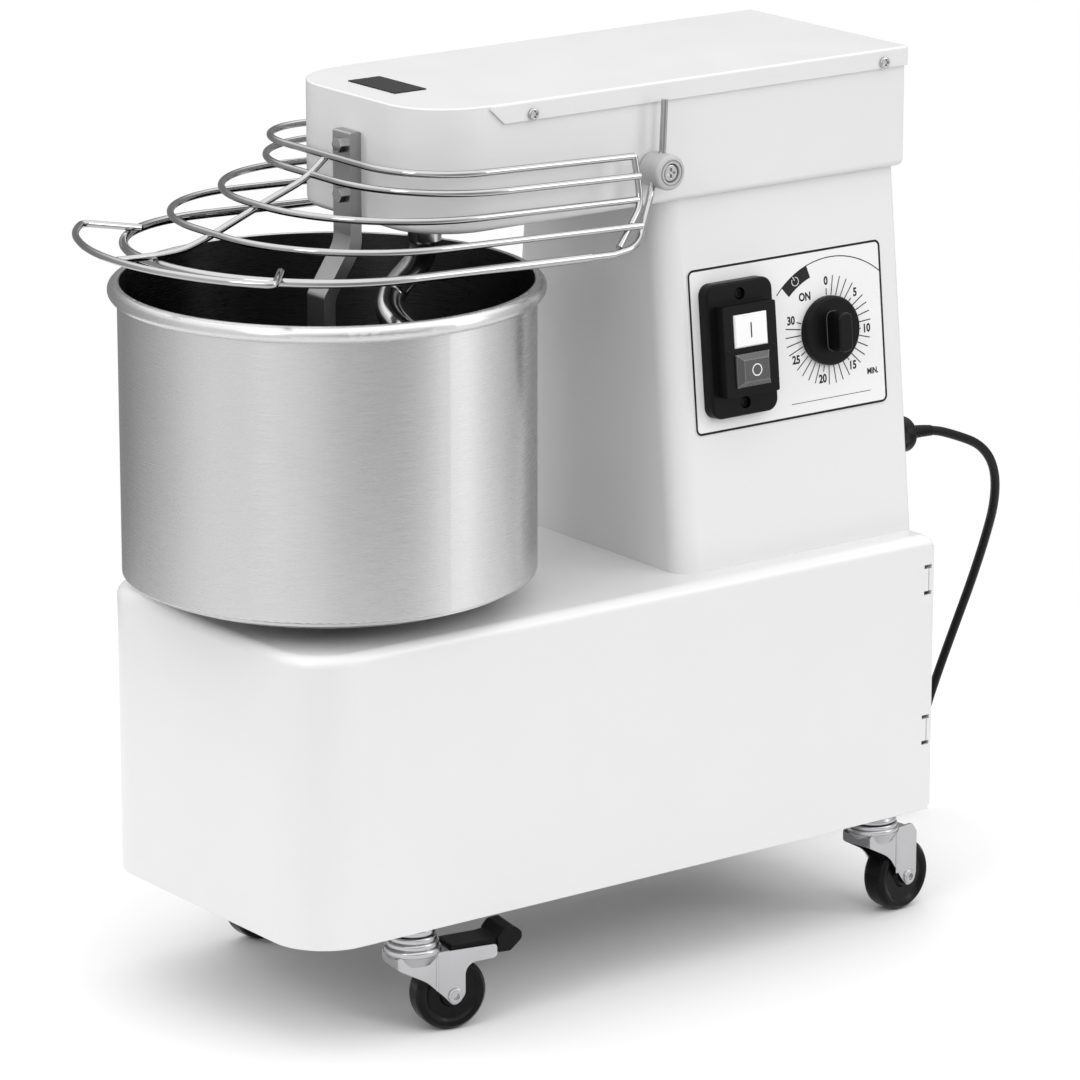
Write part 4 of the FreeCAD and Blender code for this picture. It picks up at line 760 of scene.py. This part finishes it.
# bend relief where the cord leaves the gland: a ribbed taper that droops with the cord
relief = {
    "across": 88,
    "up": 359,
    "from": 316.0,
    "to": 341.0,
    "collar": 4.0,
    "bore": 3.55,
    "thinnest": 3.7,
    "wide": 5.2,
    "narrow": 4.0,
    "ribs": 7,
    "ribShare": 0.6,
    "groove": 0.2,
    "sag": 1.5,
}
length = relief["to"] - relief["from"]
taper = length - relief["collar"]
profile = [(relief["bore"], 0), (relief["wide"], 0)]
for rib in range(relief["ribs"]):
    start = rib / relief["ribs"]
    end = (rib + relief["ribShare"]) / relief["ribs"]
    after = (rib + 1) / relief["ribs"]
    for part, drop in ((start, 0), (end, 0), (end, relief["groove"]), (after, relief["groove"])):
        radius = relief["wide"] + (relief["narrow"] - relief["wide"]) * part - drop
        profile.append((max(radius, relief["thinnest"]), relief["collar"] + taper * part))
profile += [(relief["bore"], length), (relief["bore"], 0)]
work = bmesh.new()
addTo(work, turnedShape(profile, 40),
      Matrix.Translation(mm(relief["across"], relief["from"], relief["up"]))
      @ Matrix.Rotation(math.radians(-90), 4, "X"))
for vert in work.verts:
    out = (vert.co.y * 1000 - relief["from"]) / length
    vert.co.z -= relief["sag"] / 1000 * out ** 2
cordRelief = meshFrom("cordRelief", work, [blackPlastic])
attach(cordRelief, "frame")

# tie round one side of the coil
tie = {"inner": 29.2, "outer": 52.8, "high": 15.2, "corner": 3.4, "width": 12.0, "wall": 0.8}
coilX, coilY = cordWays["coilCentre"]
tieMiddle = mm(coilX - tie["width"] / 2, coilY + (tie["inner"] + tie["outer"]) / 2, tie["high"] / 2)
work = bmesh.new()
addTo(work, roundedPlate(tie["outer"] - tie["inner"], tie["high"], tie["corner"], tie["width"], tie["wall"]),
      Matrix.Translation(tieMiddle) @ acrossToPlane)
coilTie = meshFrom("coilTie", work, [cordJacket])
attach(coilTie, "frame")

powerCordRun.data.materials.append(cordJacket)
print("stage: cord pieces")


# floor
ground = {"radius": 1.0, "below": 0.0002, "colour": grey(0.72), "shade": grey(0.73)}
work = bmesh.new()
bmesh.ops.create_circle(work, cap_ends=True, segments=128, radius=ground["radius"])
floorMesh = bpy.data.meshes.new("studioFloor")
work.to_mesh(floorMesh)
work.free()
floorFinish, floorTree, floorShader = startMaterial("studioWhite", ground["colour"], 0.0, 0.6)
floorShader.inputs["Specular IOR Level"].default_value = 0.1
floorCloud = grouped(floorTree, grainGroup, Size=3.0, Depth=0.0)
blended(floorTree, floorCloud.outputs["Value"], ground["colour"], ground["shade"],
        floorShader.inputs["Base Color"])
floor = newObject("studioFloor", floorMesh, [floorFinish])
floor.location = (0, 0, -ground["below"])

# sky: even and bright overhead; low down it changes round the compass, as a studio's walls and screens do,
# so that the steel has something to reflect, and it is dimmer for spread light; seen directly it is white
skyLook = {
    "overhead": 1.85,
    "lowMirrored": 1.0,
    "lowSpread": 0.7,
    "lowBelow": 0.25,
    "highAbove": 0.75,
    # degrees from +X towards +Y, brightness
    "round": [(-180, 0.30), (-145, 0.54), (-127, 0.72), (-112, 0.90), (-98, 0.97), (-73, 0.88), (-50, 0.88),
              (-39, 0.78), (-28, 0.62), (-5, 0.48), (7, 0.50), (18, 0.65), (31, 0.97), (45, 1.25), (60, 0.95),
              (79, 0.66), (103, 0.42), (145, 0.26), (180, 0.30)],
}
sky = bpy.data.worlds.new("studioSky")
scene.world = sky
sky.use_nodes = True
skyTree = sky.node_tree


def mixedLevel(low, high):
    node = skyTree.nodes.new("ShaderNodeMix")
    node.data_type = "FLOAT"
    node.inputs["A"].default_value = low
    node.inputs["B"].default_value = high
    return node


background = skyTree.nodes["Background"]
background.inputs["Color"].default_value = (*grey(1), 1)
direction = skyTree.nodes.new("ShaderNodeTexCoord")
axes = skyTree.nodes.new("ShaderNodeSeparateXYZ")
compass = mathNode(skyTree, "ARCTAN2")
unit = skyTree.nodes.new("ShaderNodeMapRange")
unit.inputs["From Min"].default_value = -math.pi
unit.inputs["From Max"].default_value = math.pi
walls = skyTree.nodes.new("ShaderNodeValToRGB")
stops = walls.color_ramp.elements
for angle, value in skyLook["round"][1:-1]:
    stops.new((angle + 180) / 360)
for stop, (angle, value) in zip(stops, skyLook["round"]):
    stop.position = (angle + 180) / 360
    stop.color = (*grey(value), 1)
seen = skyTree.nodes.new("ShaderNodeLightPath")
lowShare = mixedLevel(skyLook["lowSpread"], skyLook["lowMirrored"])
lowLevel = mathNode(skyTree, "MULTIPLY")
height = skyTree.nodes.new("ShaderNodeMapRange")
height.interpolation_type = "SMOOTHSTEP"
height.inputs["From Min"].default_value = skyLook["lowBelow"]
height.inputs["From Max"].default_value = skyLook["highAbove"]
level = mixedLevel(0, skyLook["overhead"])
shown = mixedLevel(0, 1)
for source, target in (
        (direction.outputs["Generated"], axes.inputs[0]),
        (axes.outputs["Y"], compass.inputs[0]),
        (axes.outputs["X"], compass.inputs[1]),
        (compass.outputs[0], unit.inputs["Value"]),
        (unit.outputs["Result"], walls.inputs["Fac"]),
        (walls.outputs["Color"], lowLevel.inputs[0]),
        (seen.outputs["Is Glossy Ray"], lowShare.inputs["Factor"]),
        (lowShare.outputs["Result"], lowLevel.inputs[1]),
        (axes.outputs["Z"], height.inputs["Value"]),
        (height.outputs["Result"], level.inputs["Factor"]),
        (lowLevel.outputs[0], level.inputs["A"]),
        (seen.outputs["Is Camera Ray"], shown.inputs["Factor"]),
        (level.outputs["Result"], shown.inputs["A"]),
        (shown.outputs["Result"], background.inputs["Strength"])):
    skyTree.links.new(source, target)


def softBox(name, place, target, size, power, mirrored=True):
    lamp = bpy.data.lights.new(name, "AREA")
    lamp.shape = "RECTANGLE"
    lamp.size, lamp.size_y = size
    lamp.energy = power
    holder = bpy.data.objects.new(name, lamp)
    scene.collection.objects.link(holder)
    holder.location = place
    holder.rotation_euler = (Vector(target) - Vector(place)).to_track_quat("-Z", "Y").to_euler()
    holder.visible_camera = False
    holder.visible_glossy = mirrored


machineMiddle = (0, 0, 0.35)
headMiddle = (0, -0.05, 0.6)
softBox("keySoftBox", (1.2, -3.2, 2.2), machineMiddle, (0.9, 1.8), 20)
softBox("sideSoftBox", (2.6, 2.3, 1.7), machineMiddle, (1.0, 1.8), 17)
# two fills lift the head without showing in the steel
softBox("leftFill", (-1.0, -1.7, 1.2), headMiddle, (0.6, 0.6), 9, mirrored=False)
softBox("rightFill", (1.7, 0.0, 1.1), headMiddle, (0.6, 0.6), 6, mirrored=False)
scene.view_settings.view_transform = "Standard"
print("stage: light")
